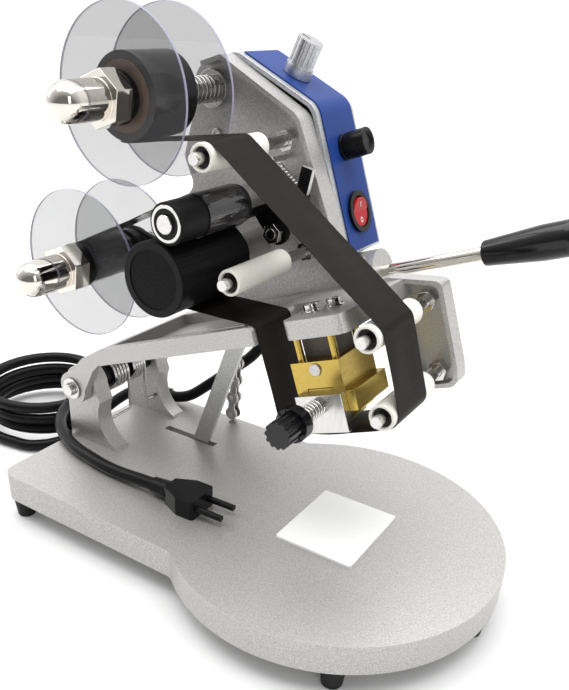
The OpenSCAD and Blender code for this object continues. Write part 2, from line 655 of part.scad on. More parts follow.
// Handle
rod_start = boss_a + 2 * over;
grip_bore_l = 30;
module handle_rod() color("silver") on_arm() translate([rod_start, boss_y, arm_top]) rotate([0, 90, 0])
    cylinder(h = handle_reach - grip_l + grip_bore_l - rod_start, r = rod_r);
module handle_grip() color([0.1, 0.1, 0.1]) on_arm() translate([handle_reach - grip_l, boss_y, arm_top])
    rotate([0, 90, 0]) difference() {
        rotate_extrude() polygon(concat([[0, 0], [0.68 * grip_r, 0], [0.74 * grip_r, over],
            [grip_r, 0.62 * grip_l]], [for (i = [0 : 8]) let (nose = 0.7 * grip_r)
            [grip_r * cos(90 * i / 8), grip_l - nose + nose * sin(90 * i / 8)]]));
        translate([0, 0, -over]) cylinder(h = grip_bore_l + 2 * over, r = rod_r + fix_fit);
    }

// Electronics housing behind the side plate
housing_bottom = 36;
housing_rear = 66;
chain_slot_a = 88;
chain_slot_l = 18;
gland_a = 87;
gland_y = 88;
gland_r = 4.8;
housing_points = [[housing_rear, housing_bottom], [front_a, housing_bottom], [front_a, slope_sum - front_a],
    [slope_sum - supply_c - lobe_r, supply_c + lobe_r], [supply_a - lobe_r / 3, supply_c + lobe_r],
    [supply_a - lobe_r, supply_c + lobe_r / 4], [supply_a - 2.25 * lobe_r, supply_c - 1.7 * lobe_r],
    [supply_a - 2.2 * lobe_r, supply_c - 3.6 * lobe_r], [housing_rear, takeup_c + lobe_r]];
housing_round = 10;
housing_small = 4;
housing_radii = [housing_small, housing_small / 2, front_r, housing_round, housing_round,
    housing_round, housing_round, housing_round, housing_small];
function thinner(r, d) = [for (v = r) max(v - d, 0)];
module electronics_housing() color([0.75, 0.76, 0.78]) on_arm() difference() {
    slab(web_y1, housing_y1) polygon(rounded(housing_points, housing_radii));
    slab(web_y1 - over, housing_y1 + over)
        polygon(rounded(inset(housing_points, housing_wall), thinner(housing_radii, housing_wall)));
    translate([chain_slot_a - chain_slot_l / 2, chain_y - 2 * chain_half, housing_bottom - over])
        cube([chain_slot_l, 4 * chain_half, housing_wall + 2 * over]);
    translate([gland_a, gland_y, housing_bottom - over])
        cylinder(h = housing_wall + 2 * over, r = gland_r + fix_fit);
    at([front_a, fuse_c]) translate([-2 * housing_wall, axis_y, 0]) rotate([0, 90, 0])
        cylinder(h = 4 * housing_wall, r = fuse_body_r + fix_fit);
    at([front_a, switch_c]) translate([-2 * housing_wall, axis_y, 0]) rotate([0, 90, 0])
        cylinder(h = 4 * housing_wall, r = switch_r + fix_fit);
    at(knob_at) translate([0, axis_y, 0]) rotate([0, 45, 0]) translate([0, 0, -2 * housing_wall])
        cylinder(h = 4 * housing_wall, r = knob_shaft_r + fix_fit);
}
knob_a = 148.5;
knob_at = [knob_a, slope_sum - knob_a];
knob_shaft_r = 3;
fuse_c = 93.4;
fuse_body_r = 6;
switch_c = 58;
switch_r = 10;
pilot_depth = 8;
cover_inset = 8;
cover_screws_at = [[housing_rear + cover_inset, housing_bottom + cover_inset],
    [front_a - cover_inset, housing_bottom + cover_inset],
    [front_a - cover_inset, slope_sum - front_a - cover_inset], [supply_a, supply_c + lobe_r / 3]];
module housing_cover() color([0.75, 0.76, 0.78]) on_arm() difference() {
    union() {
        slab(housing_y1, cover_y1) polygon(rounded(housing_points, housing_radii));
        for (p = cover_screws_at) at(p) along_y(2.5 * small_screw_r, web_y1, housing_y1);
    }
    for (p = cover_screws_at) at(p)
        along_y(small_screw_r + fix_fit, housing_y1 - pilot_depth, cover_y1 + over);
}
module cover_screws() color("silver") on_arm() for (p = cover_screws_at) at(p)
    translate([0, cover_y1, 0]) rotate([-90, 0, 0])
        cap_screw(small_screw_r, pilot_depth, 2 * small_screw_r, small_screw_r);
panel_edge = 2;
module control_panel() color([0.13, 0.24, 0.6]) on_arm() difference() {
    slab(axis_y - panel_w / 2, axis_y + panel_w / 2) intersection() {
        polygon(rounded(inset(housing_points, -panel_t), [for (r = housing_radii) r + panel_t]));
        translate([housing_points[3][0] + panel_edge, housing_bottom + panel_edge]) square(2 * front_a);
    }
    slab(axis_y - panel_w, axis_y + panel_w)
        polygon(rounded(inset(housing_points, -run_fit), [for (r = housing_radii) r + run_fit]));
    at([front_a, fuse_c]) translate([-over, axis_y, 0]) rotate([0, 90, 0])
        cylinder(h = 4 * housing_wall, r = fuse_body_r + fix_fit);
    at([front_a, switch_c]) translate([-over, axis_y, 0]) rotate([0, 90, 0])
        cylinder(h = 4 * housing_wall, r = switch_r + fix_fit);
    at(knob_at) translate([0, axis_y, 0]) rotate([0, 45, 0]) translate([0, 0, -over])
        cylinder(h = 4 * housing_wall, r = knob_shaft_r + fix_fit);
}

// Circuit board on pillars, with the temperature control behind the slope
board_a = 84;
board_c = 90;
board_l = 46;
board_h = 26;
board_t = 1.6;
board_y = 88;
pillar_r = 2.5;
pot_r = 8;
pot_l = 10;
module circuit_board() color("darkgreen") on_arm() {
    translate([board_a, board_y, board_c]) cube([board_l, board_t, board_h]);
    for (p = [[board_a + pillar_r, board_c + pillar_r],
        [board_a + board_l - pillar_r, board_c + board_h - pillar_r]])
        at(p) along_y(pillar_r, web_y1, board_y);
    translate([board_a + board_l / 2, board_y - pot_l, board_c + board_h / 4])
        cube([board_l / 3, pot_l, board_h / 2]);
    at(knob_at) translate([0, axis_y, 0]) rotate([0, 45, 0]) {
        translate([0, 0, -housing_wall - pot_l]) cylinder(h = pot_l, r = pot_r);
        translate([0, 0, -housing_wall]) cylinder(h = housing_wall + knob_h / 2, r = knob_shaft_r);
    }
}
knob_flutes = 18;
flute_r = 0.6;
module temperature_knob() color("silver") on_arm() at(knob_at) translate([0, axis_y, 0]) rotate([0, 45, 0])
    translate([0, 0, panel_t + gap]) difference() {
        union() {
            cylinder(h = knob_h / 4, r = knob_r);
            translate([0, 0, knob_h / 4]) cylinder(h = 0.7 * knob_h, r = 0.9 * knob_r);
        }
        translate([0, 0, -over]) cylinder(h = knob_h / 2 + over, r = knob_shaft_r + run_fit);
        for (i = [0 : knob_flutes - 1]) rotate(360 * i / knob_flutes)
            translate([0.9 * knob_r + flute_r / 3, 0, knob_h / 3])
                cylinder(h = knob_h, r = flute_r, $fn = 16);
    }

// Fuse holder and power switch in the front
fuse_l = 24;
fuse_flange = 2;
fuse_neck = 4;
module fuse_holder() color([0.1, 0.1, 0.1]) on_arm() translate([front_a, axis_y, fuse_c]) rotate([0, 90, 0]) {
    difference() {
        union() {
            translate([0, 0, -fuse_l]) cylinder(h = fuse_l + panel_t, r = fuse_body_r);
            translate([0, 0, panel_t]) cylinder(h = fuse_flange, r = fuse_cap_r);
        }
        translate([0, 0, panel_t - fuse_neck]) cylinder(h = 2 * fuse_neck, r = fuse_body_r / 1.5);
    }
}
fuse_cap_l = 13;
module fuse_cap() color([0.1, 0.1, 0.1]) on_arm() translate([front_a + panel_t + fuse_flange, axis_y, fuse_c])
    rotate([0, 90, 0]) {
        difference() {
            translate([0, 0, gap]) cylinder(h = fuse_cap_l, r = fuse_cap_r);
            translate([0, 0, fuse_cap_l - over]) cylinder(h = fuse_flange + over, r = fuse_cap_r / 1.5);
        }
        translate([0, 0, -fuse_neck]) cylinder(h = fuse_neck + over, r = fuse_body_r / 1.5 - run_fit);
    }
switch_l = 18;
bezel_t = 2;
rocker_r = 8.4;
rocker_t = 5;
rocker_tilt = 8;
rocker_pin_r = 1.2;
module switch_body() color([0.1, 0.1, 0.1]) on_arm() translate([front_a, axis_y, switch_c]) rotate([0, 90, 0])
    difference() {
        union() {
            translate([0, 0, -switch_l]) cylinder(h = switch_l + panel_t, r = switch_r);
            translate([0, 0, panel_t]) cylinder(h = bezel_t, r = bezel_r);
        }
        translate([0, 0, panel_t + bezel_t - rocker_t]) cylinder(h = 2 * rocker_t, r = rocker_r + gap);
        translate([0, 0, panel_t + bezel_t - rocker_t / 2])
            along_y(rocker_pin_r + run_fit, gap - switch_r, switch_r - gap);
    }
module switch_rocker() color("red") on_arm()
    translate([front_a + panel_t + bezel_t - rocker_t / 2, axis_y, switch_c])
    rotate([0, 90 + rocker_tilt, 0]) {
        intersection() {
            cylinder(h = rocker_t + rocker_tilt * gap, r = rocker_r - gap, center = true);
            sphere(r = rocker_r);
            rotate([90, 0, 0]) linear_extrude(2 * rocker_r, center = true)
                polygon([[-rocker_r, rocker_t / 2 + over / 2], [-rocker_r, 0], [0, -rocker_t / 2 + gap],
                    [rocker_r, 0], [rocker_r, rocker_t / 2 + over / 2], [0, rocker_t / 2 - over / 2]]);
        }
        along_y(rocker_pin_r, side_gap - switch_r, switch_r - side_gap);
    }

// Print head: insulator, heater block on posts, type holder that slides out, and its clamp
head_a = flange_a + flange_l / 2.9;
insulator_h = flange_c;
post_inset = 5;
tongue_w = 14;
tongue_h = 2;
cartridge_r = 3.2;
cartridge_c = -4.2;
insulator_l = 20;
insulator_w = 16;
module heat_insulator() color([0.1, 0.1, 0.1]) on_arm() difference() {
    translate([head_a - insulator_l / 2, -insulator_w / 2, 0]) cube([insulator_l, insulator_w, flange_c]);
    for (p = flange_screws_at) translate([p[0], p[1], -over])
        cylinder(h = flange_c + 2 * over, r = flange_screw_r + fix_fit);
}
module heater_block() color("goldenrod") on_arm() difference() {
    union() {
        translate([head_a - heater_l / 2, -heater_w / 2, -heater_h]) cube([heater_l, heater_w, heater_h]);
        for (sa = [-1, 1], sy = [-1, 1]) translate([head_a + sa * (heater_l / 2 - post_inset + over),
            sy * (heater_w / 2 - post_inset), 0]) cylinder(h = flange_c, r = flange_screw_r);
    }
    translate([head_a - tongue_w / 2 - gap, -heater_w, -heater_h - over])
        cube([tongue_w + 2 * gap, 2 * heater_w, tongue_h + gap + over]);
    at([head_a, cartridge_c]) along_y(cartridge_r + fix_fit, -heater_w, heater_w);
}
module heater_cartridge() color("gray") on_arm() at([head_a, cartridge_c])
    along_y(cartridge_r, -heater_w / 2 - over, heater_w / 2 + cartridge_r);
holder_ledge = 5;
holder_block = 0.62;
type_slot_w = 8;
type_count = 8;
module type_holder() color("gold") on_arm() translate([head_a, 0, -heater_h - run_fit]) difference() {
    union() {
        translate([-heater_l / 2, -heater_w / 2, -holder_block * holder_h])
            cube([heater_l + holder_ledge, heater_w, holder_block * holder_h]);
        translate([-tongue_w / 2, -heater_w / 2, 0]) cube([tongue_w, heater_w, tongue_h]);
        translate([-heater_l / 2 + holder_ledge, -heater_w / 2, -holder_h])
            cube([heater_l - 2 * holder_ledge, heater_w, holder_h]);
    }
    translate([-type_slot_w / 2, -heater_w, -holder_h - over])
        cube([type_slot_w, 2 * heater_w, (1 - holder_block) * holder_h + over]);
    at([0, clamp_c]) along_y(clamp_screw_r + fix_fit, -heater_w, -heater_w / 2 + clamp_thread);
}
clamp_thread = 6;
clamp_c = -5.5;
slug_gap = 0.2;
module type_row() color("darkgoldenrod") on_arm()
    translate([head_a, 0, -heater_h - run_fit - holder_h - type_h])
    for (i = [0 : type_count - 1]) {
        pitch = (heater_w - 2 * over) / type_count;
        translate([-type_slot_w / 2 + fix_fit, -heater_w / 2 + over + i * pitch, 0])
            cube([type_slot_w - 2 * fix_fit, pitch - slug_gap,
                type_h + (1 - holder_block) * holder_h - fix_fit]);
    }
jaw_t = 5;
jaw_h = 20;
jaw_y0 = -heater_w / 2 - fix_fit - jaw_t;
module clamp_jaw() color("lightgray") on_arm() translate([head_a, 0, -heater_h - run_fit]) difference() {
    translate([-heater_l / 2 + over, jaw_y0, -jaw_h]) cube([heater_l - over, jaw_t, jaw_h]);
    at([0, clamp_c]) along_y(clamp_screw_r + run_fit, jaw_y0 - over, 0);
}
clamp_l = 20;
knob_y1 = jaw_y0 - clamp_l;
clamp_knob_l = 18;
skirt_l = 6;
module clamp_screw() color("silver") on_arm() translate([head_a, 0, -heater_h - run_fit]) at([0, clamp_c])
    along_y(clamp_screw_r - gap / 10, knob_y1 - clamp_knob_l / 2, -heater_w / 2 + clamp_thread - over);
clamp_flutes = 12;
module clamp_knob() color([0.1, 0.1, 0.1]) on_arm() translate([head_a, 0, -heater_h - run_fit])
    at([0, clamp_c])
    difference() {
        union() {
            along_y(1.25 * clamp_knob_r, knob_y1 - skirt_l, knob_y1);
            along_y(clamp_knob_r, knob_y1 - clamp_knob_l, knob_y1 - skirt_l);
        }
        along_y(clamp_screw_r + fix_fit, knob_y1 - clamp_knob_l / 2 - over, knob_y1 + over);
        for (i = [0 : clamp_flutes - 1]) rotate([0, 360 * i / clamp_flutes, 0])
            translate([clamp_knob_r + flute_r / 2, 0, 0])
                along_y(2 * flute_r, knob_y1 - clamp_knob_l - over, knob_y1 - skirt_l + over / 2, 16);
    }
clamp_wire = 1.2;
clamp_curls = 7;
clamp_spring_r = 4.5;
module clamp_spring() color("gainsboro") on_arm() translate([head_a, 0, -heater_h - run_fit]) at([0, clamp_c])
    tube(curls(clamp_spring_r - clamp_wire / 2, knob_y1 + gap + clamp_wire / 2, jaw_y0 - gap - clamp_wire / 2,
        clamp_curls, 0, clamp_wire), clamp_wire / 2, wire_sides, [0, 1, 0]);

// Reels: a hub turns on each spindle, with two clear discs, and a cap nut holds it against a spring
collar_t = 4;
disc_y = disc_gap / 2;
hub_neck = 11;
takeup_neck = 9;
hub_collar = 12.5;
hub_y0 = -disc_y - disc_t - collar_t;
hub_y1 = disc_y + disc_t + collar_t;
reel_spring_r = 7.2;
reel_wire = 1.4;
reel_curls = 8;
takeup_curls = 6;
hex_l = 11;
pulley_w = 8;
pulley_r = 12;
belt_r = 1.4;
belt_y = hub_y1 + pulley_w / 2;
module reel_spindles() color("silver") on_arm() for (p = [supply_at, takeup_at]) at(p) {
    along_y(spindle_r, hub_y0 - cap_l / 2, web_y1);
    ring_y(2 * spindle_r, spindle_r + fix_fit, web_y0 - collar_t, web_y0);
}
module reel_springs() color("gainsboro") on_arm() {
    at(supply_at) tube(curls(reel_spring_r - reel_wire / 2, hub_y1 + gap + reel_wire / 2,
        web_y0 - collar_t - gap - reel_wire / 2, reel_curls, 0, reel_wire),
        reel_wire / 2, wire_sides, [0, 1, 0]);
    at(takeup_at) tube(curls(reel_spring_r - reel_wire / 2, hub_y1 + pulley_w + gap + reel_wire / 2,
        web_y0 - collar_t - gap - reel_wire / 2, takeup_curls, 0, reel_wire),
        reel_wire / 2, wire_sides, [0, 1, 0]);
}
module cap_nuts() color("lightgray") on_arm() for (p = [supply_at, takeup_at]) at(p)
    translate([0, hub_y0 - gap, 0]) difference() {
        union() {
            along_y(cap_flats / sqrt(3), -hex_l, 0, 6);
            translate([0, -hex_l, 0]) rotate([90, 0, 0]) rotate_extrude()
                polygon(concat([[0, 0], [dome_r, 0]],
                [for (i = [0 : 12]) [dome_r * cos(90 * i / 12),
                    (cap_l - hex_l - dome_r) + dome_r * sin(90 * i / 12)]]));
        }
        along_y(spindle_r + fix_fit, -cap_l / 2 - over, over);
    }
module discs() for (side = [-1, 1]) translate([0, side * (disc_y + disc_t / 2), 0])
    ring_y(disc_r, hub_neck + fix_fit, -disc_t / 2, disc_t / 2);
module hub(neck, end_y) difference() {
    union() {
        along_y(neck, hub_y0, hub_y1);
        along_y(hub_collar, hub_y0, -disc_y - disc_t - fix_fit);
        along_y(hub_collar, disc_y + disc_t + fix_fit, end_y);
    }
    along_y(spindle_r + run_fit, hub_y0 - over, end_y + over);
}
module supply_discs() color([0.8, 0.8, 0.95, 0.4]) on_arm() at(supply_at) discs();
module supply_hub() color([0.12, 0.1, 0.1]) on_arm() at(supply_at) hub(hub_neck, hub_y1);
module supply_roll() color([0.3, 0.3, 0.3]) on_arm() at(supply_at) {
    ring_y(core_r, hub_neck + fix_fit, -ribbon_w / 2 - side_gap, ribbon_w / 2 + side_gap);
    ring_y(supply_roll_r, core_r - over, -ribbon_w / 2, ribbon_w / 2);
}
module takeup_discs() color([0.8, 0.8, 0.95, 0.4]) on_arm() at(takeup_at) discs();
module takeup_hub() color([0.12, 0.1, 0.1]) on_arm() at(takeup_at) difference() {
    hub(takeup_neck, hub_y1 + pulley_w);
    rotate([-90, 0, 0]) rotate_extrude() translate([hub_collar, belt_y]) circle(belt_r + gap, $fn = 24);
}
module takeup_roll() color([0.2, 0.2, 0.22]) on_arm() at(takeup_at)
    ring_y(takeup_roll_r, takeup_neck + fix_fit, -ribbon_w / 2, ribbon_w / 2);

// Guide rollers on bolts through the side plate and the bracket
guide_back = 12.5;
guide_y1 = ribbon_w / 2 + guide_back;
guide_y0 = guide_y1 - guide_l;
clip_t = 1;
clip_w = 1.5;
nut_flats = 10;
nut_t = 5.5;
counter_r = 5.2;
counter_depth = 3;
axle_ends = [web_y0, web_y0, bracket_y0, bracket_y0];
axle_backs = [web_y1, web_y1, bracket_y0 + bracket_t, bracket_y0 + bracket_t];
module roller_axles() color("silver") on_arm() {
    for (i = [0 : 3]) at(guide_at[i]) {
        along_y(axle_r, guide_y0 - 2 * counter_depth, axle_backs[i]);
        hex_nut_y(nut_flats, axle_r + fix_fit, axle_ends[i] - nut_t, axle_ends[i]);
        ring_y(axle_r + clip_w, axle_r + fix_fit, guide_y0 + counter_depth - gap - clip_t,
            guide_y0 + counter_depth - gap);
        ring_y(axle_r + clip_w, axle_r + fix_fit, guide_y1 + gap, guide_y1 + gap + clip_t);
    }
    at(lever_at) {
        along_y(axle_r, lever_y0 - clip_t - nut_t, web_y1);
        hex_nut_y(nut_flats, axle_r + fix_fit, lever_y0 - side_gap - nut_t, lever_y0 - side_gap);
        ring_y(axle_r + clip_w, axle_r + fix_fit, lever_y1 + side_gap, web_y0);
    }
    at(post_at) along_y(post_r, lever_y1 + spring_lift - post_end, web_y1);
}
module guide_roller(i) color("ivory") on_arm() at(guide_at[i]) difference() {
    along_y(guide_r, guide_y0, guide_y1);
    along_y(axle_r + run_fit, guide_y0 - over, guide_y1 + over);
    along_y(counter_r, guide_y0 - over, guide_y0 + counter_depth);
}
module guide_roller_1() guide_roller(0);
module guide_roller_2() guide_roller(1);
module guide_roller_3() guide_roller(2);
module guide_roller_4() guide_roller(3);

// Drive roller with its pulley, on the shaft that the chain turns through a sprocket
press_y0 = -37.5;
press_y1 = press_y0 + press_l;
drive_pulley_y1 = belt_y + pulley_w / 2;
module drive_roller() color([0.07, 0.07, 0.07]) on_arm() at(drive_at) difference() {
    union() {
        along_y(drive_r, press_y0, press_y1);
        along_y(pulley_r, press_y1, drive_pulley_y1);
    }
    along_y(shaft_r + fix_fit, press_y0 + drive_rubber_t, drive_pulley_y1 + over);
    rotate([-90, 0, 0]) rotate_extrude() translate([pulley_r, belt_y]) circle(belt_r + gap, $fn = 24);
}
sprocket_teeth = 8;
sprocket_r = 12.9;
sprocket_root = 10.5;
module feed_sprocket() color("silver") on_arm() at(drive_at) {
    along_y(shaft_r, press_y0 + drive_rubber_t + gap, chain_y + chain_half);
    ring_y(2 * shaft_r, shaft_r - gap, drive_pulley_y1 + over, web_y0 - side_gap);
    slab(chain_y - plate_t, chain_y + plate_t) {
        circle(sprocket_root);
        for (i = [0 : sprocket_teeth - 1]) rotate(360 * i / sprocket_teeth)
            polygon([[0, -chain_half], [sprocket_r, -plate_t], [sprocket_r, plate_t], [0, chain_half]]);
    }
}

// Pinch roller on a sprung lever
pinch_shaft_r = 4.5;
lever_t = 3;
lever_y0 = 40;
lever_y1 = lever_y0 + lever_t;
lever_boss_r = 7;
hook_a = 160;
hook_c = 74;
tab_l = 14;
spring_lift = 4;
post_end = 2;
module pinch_roller() color([0.1, 0.1, 0.1]) on_arm() at(pinch_at)
    ring_y(pinch_r, pinch_shaft_r + run_fit, press_y0, press_y1);
module pinch_lever() color([0.15, 0.15, 0.15]) on_arm() difference() {
    union() {
        at(pinch_at) along_y(pinch_shaft_r, press_y0 - 1.5 * over, lever_y1);
        at(pinch_at) along_y(2 * pinch_shaft_r, press_y1 + gap, lever_y0 + over);
        at(lever_at) along_y(lever_boss_r, lever_y0, lever_y1);
        slab(lever_y0, lever_y1) {
            band_between(pinch_at, lever_at, lever_boss_r);
            band_between(lever_at, [hook_a, hook_c], lever_boss_r / 1.5);
            at2([hook_a, hook_c]) circle(lever_boss_r / 1.5);
            band_between([hook_a, hook_c], [hook_a + tab_l / 1.6, hook_c + tab_l], lever_boss_r / 2);
        }
        at([hook_a, hook_c]) along_y(post_r, lever_y0, lever_y1 + spring_lift + post_end);
    }
    at(lever_at) along_y(axle_r + run_fit, lever_y0 - over, lever_y1 + over);
}
module band_between(p, q, half) {
    side = half * turn(unit(q - p));
    polygon([p + side, p - side, q - side, q + side]);
}
hook_wire = 0.8;
hook_r = 2.4;
hook_curls = 9;
module lever_spring() color("gainsboro") on_arm() {
    from = [post_a, lever_y1 + spring_lift, post_c];
    to = [hook_a, lever_y1 + spring_lift, hook_c];
    d = unit(to - from);
    l = norm(to - from);
    r = hook_r - hook_wire / 2;
    n = hook_curls * curl_rings;
    start = post_r + gap + hook_wire / 2;
    len_coil = l - 2 * start - 2 * hook_r;
    side = [0, 1, 0];
    up = cross(d, side);
    on_coil = function (s, x) from + x * d + r * (cos(s) * up + sin(s) * side);
    tube(concat([from + start * d], [for (i = [0 : n])
        on_coil(360 * hook_curls * i / n, start + hook_r + len_coil * i / n)],
        [from + (l - start) * d]), hook_wire / 2, wire_sides, side);
}

// Round belt, crossed between the drive pulley and the take-up pulley
belt_steps = 10;
belt_lift = 2;
module drive_belt() color([0.08, 0.08, 0.08]) on_arm() {
    d = takeup_at - drive_at;
    far = norm(d);
    slope = atan2(d[1], d[0]);
    open = acos((pulley_r + hub_collar) / far);
    first = arc(drive_at, pulley_r, slope + open, slope + 360 - open, 3 * belt_steps);
    second = arc(takeup_at, hub_collar, slope + 540 - open, slope + 180 + open, 3 * belt_steps);
    lifted = function (p, q, side) [for (i = [1 : belt_steps - 1])
        let (s = i / belt_steps, m = p + (q - p) * s) [m[0], belt_y + side * belt_lift * sin(180 * s), m[1]]];
    loop = concat([for (p = first) [p[0], belt_y, p[1]]], lifted(first[len(first) - 1], second[0], 1),
        [for (p = second) [p[0], belt_y, p[1]]], lifted(second[len(second) - 1], first[0], -1));
    ring_tube(loop, belt_r, 8);
}
module ring_tube(p, r, sides) {
    count = len(p);
    t = [for (i = [0 : count - 1]) unit(p[(i + 1) % count] - p[(i + count - 1) % count])];
    rings = [for (i = [0 : count - 1]) let (n = unit([0, 1, 0] - t[i][1] * t[i]), b = cross(t[i], n))
        for (k = [0 : sides - 1]) p[i] + r * (cos(360 * k / sides) * n + sin(360 * k / sides) * b)];
    polyhedron(rings, [for (i = [0 : count - 1]) for (k = [0 : sides - 1]) let (a = i * sides + k,
        b = i * sides + (k + 1) % sides, c = ((i + 1) % count) * sides + k,
        d = ((i + 1) % count) * sides + (k + 1) % sides)
        each [[a, c, b], [b, c, d]]]);
}

// Ribbon: off the new roll, down in front of the type, back between the rollers to the used roll
sag_r = 100;
sag_c = 38.9;
rise_r = 9;
rise_back = 0.6;
rise_a = rail_reach - rise_back;
ribbon_gap_r = ribbon_clear + ribbon_t / 2;
ribbon_route = [
    [supply_at - [2 * supply_roll_r, 0], 0, 1],
    [supply_at, supply_roll_r + ribbon_gap_r, 1],
    [guide_at[0], guide_r + ribbon_gap_r, -1],
    [guide_at[2], guide_r + ribbon_gap_r, -1],
    [guide_at[3], guide_r + ribbon_gap_r, -1],
    [[head_a, sag_r - sag_c], sag_r, -1],
    [[rise_a + ribbon_gap_r + rise_r, -sag_c + rise_r + over], rise_r, -1],
    [[rail_reach - bend_r, arm_top - bend_r], bend_r + ribbon_gap_r, 1],
    [drive_at, drive_r + ribbon_gap_r, -1],
    [pinch_at, pinch_r + ribbon_gap_r, 1],
    [takeup_at, takeup_roll_r + ribbon_gap_r, 1],
    [takeup_at - [takeup_roll_r, 2 * takeup_roll_r], 0, 1]];
module ribbon() color([0.2, 0.19, 0.17]) on_arm() slab(-ribbon_w / 2, ribbon_w / 2)
    polygon(band(strip(ribbon_route, 14), ribbon_t));

// Power cord: through a gland in the housing, down to a clip, into a loose coil and onto the base
cord_r = cord_d / 2;
gland_l = 14;
module cable_gland() color([0.1, 0.1, 0.1]) on_arm() translate([gland_a, gland_y, housing_bottom])
    difference() {
    union() {
        translate([0, 0, -gland_l]) cylinder(h = gland_l + housing_wall + 3 * over, r = gland_r);
        translate([0, 0, -gland_l / 2]) cylinder(h = gland_l / 2, r = 1.6 * gland_r, $fn = 6);
    }
    translate([0, 0, -gland_l - over]) cylinder(h = 3 * gland_l, r = cord_r + gap);
}
lead_route = [[87, 88, 38], [87, 88, 20], [85, 87.5, 4], [78, 86, -9], [65, 83, -19], [47, 79, -26],
    [29, 74, -33], [13, 69, -38.5], [1, 66, -38.2], [-8, 66, -34.9]];
module power_lead() color([0.08, 0.08, 0.08]) on_arm() tube(smooth(lead_route, 3), cord_r, 10, [0, 1, 0]);
clip_at = [-180, 66];
clip_lift = 1.5;
clip_l = 9;
cord_clip_t = 1.2;
module cord_clip() color("gray") place() translate([clip_at[0], clip_at[1], base_top]) difference() {
    union() {
        translate([-clip_l / 2, 0, cord_r + clip_lift]) rotate([0, 90, 0])
            cylinder(h = clip_l, r = cord_r + cord_clip_t);
        translate([-clip_l / 2, -cord_r - cord_clip_t, 0]) cube([clip_l, cord_r + cord_clip_t, clip_lift]);
    }
    translate([-clip_l, 0, cord_r + clip_lift]) rotate([0, 90, 0]) cylinder(h = 2 * clip_l, r = cord_r + gap);
    translate([-clip_l, -2 * clip_l, -2 * clip_l]) cube([2 * clip_l, 4 * clip_l, 2 * clip_l]);
}
coil_x = -275;
coil_y = 33;
coil_r = 41;
coil_wide = 7;
coil_sway = 1.5;
coil_pitch = 8.7;
coil_from = -80;
coil_end = 25;
cord_lift = 0.15;
loop_rings = 24;
coil_total = 360 * coil_turns - coil_end + coil_from;
// The coil is wound from the table upwards; its first turn is wider and no two turns lie quite alike
function coil_radius(s) = coil_r + coil_wide * max(0, 1 - s / 360) + coil_sway * sin(0.7 * s);
function coil_point(s) = let (r = coil_radius(s), a = coil_from - s)
    [coil_x + r * cos(a), coil_y + r * sin(a), cord_r + cord_lift + coil_pitch * s / 360];
function coil_along(s) = [sin(coil_from - s), -cos(coil_from - s), 0];
coil_rings = round(loop_rings * coil_total / 360);
coil_first = coil_point(0) - cord_d * coil_along(0);
coil_last = coil_point(coil_total) + cord_d * coil_along(coil_total);
coil_middle = [for (i = [0 : coil_rings]) coil_point(coil_total * i / coil_rings)];
module power_coil() color([0.08, 0.08, 0.08]) place()
    tube(concat([coil_first], coil_middle, [coil_last]), cord_r, 6, [0, 0, 1]);
cord_in = concat([[-178.9, 66, 37.5], [-188, 66, 37.5], [-198, 64.5, 36.6], [-207, 60, 33.2],
    [-214, 52.5, 28],
    [-219, 43, 22], [-222, 32, 16], [-224.5, 20.5, 10.8], [-228.5, 9.5, 7], [-235, 0, 5], [-244, -8, 4.2]],
    [coil_first - cord_d * coil_along(0), coil_first]);
cord_out = concat([coil_last, coil_last + cord_d * coil_along(coil_total)],
    [[-228, 22, 36.8], [-223.5, 9, 36], [-215, -4.5, 35.8], [-203.5, -15.5, 36.2], [-190, -23.5, 36.3],
    [-175, -29.5, 36.3], [-160, -32.6, 36.3], [-145, -34.8, 36.3], [-131, -35.4, 36.5], [-117, -35.2, 37.4],
    [-104, -34.8, 38]]);
module power_cord() color([0.08, 0.08, 0.08]) place() {
    tube(smooth(cord_in, 2), cord_r, 10, [0, 0, 1]);
    tube(smooth(cord_out, 2), cord_r, 10, [0, 0, 1]);
}
plug_turn = 2;
plug_x = -104;
plug_y = -34.8;
plug_l = 36;
plug_w = 22;
plug_h = 12;
plug_round = 2;
pin_l = 17;
pin_r = 2;
pin_gap = 12.7;
module power_plug() color([0.08, 0.08, 0.08]) place() translate([plug_x, plug_y, base_top + plug_h / 2])
    rotate([0, 0, plug_turn]) {
        rotate([0, 90, 0]) cylinder(h = plug_l / 3, r1 = cord_r + over, r2 = plug_h / 2);
        translate([plug_l / 3, 0, -plug_h / 2]) linear_extrude(plug_h) polygon(rounded([[0, -plug_w / 4],
            [plug_l / 3, -plug_w / 2], [2 * plug_l / 3, -plug_w / 2], [2 * plug_l / 3, plug_w / 2],
            [plug_l / 3, plug_w / 2], [0, plug_w / 4]],
            [0, plug_round, plug_round, plug_round, plug_round, 0]));
        for (side = [-1, 1]) translate([plug_l - over, side * pin_gap / 2, 0]) rotate([0, 90, 0])
            cylinder(h = pin_l + over, r = pin_r);
    }

echo(least_gap_torsion = (near_coil_y0 - near_coil_y1) / (torsion_curls + arm_leg_angle / 360 - 1)
    - torsion_wire_d);
echo(least_gap_coil = coil_pitch - cord_d);
echo(least_gap_supply_spring = (web_y0 - collar_t - hub_y1 - 2 * gap - reel_wire) / reel_curls - reel_wire);
echo(least_gap_takeup_spring = (web_y0 - collar_t - hub_y1 - pulley_w - 2 * gap - reel_wire) / takeup_curls
    - reel_wire);
echo(least_gap_clamp_spring = (clamp_l - 2 * gap - clamp_wire) / clamp_curls - clamp_wire);

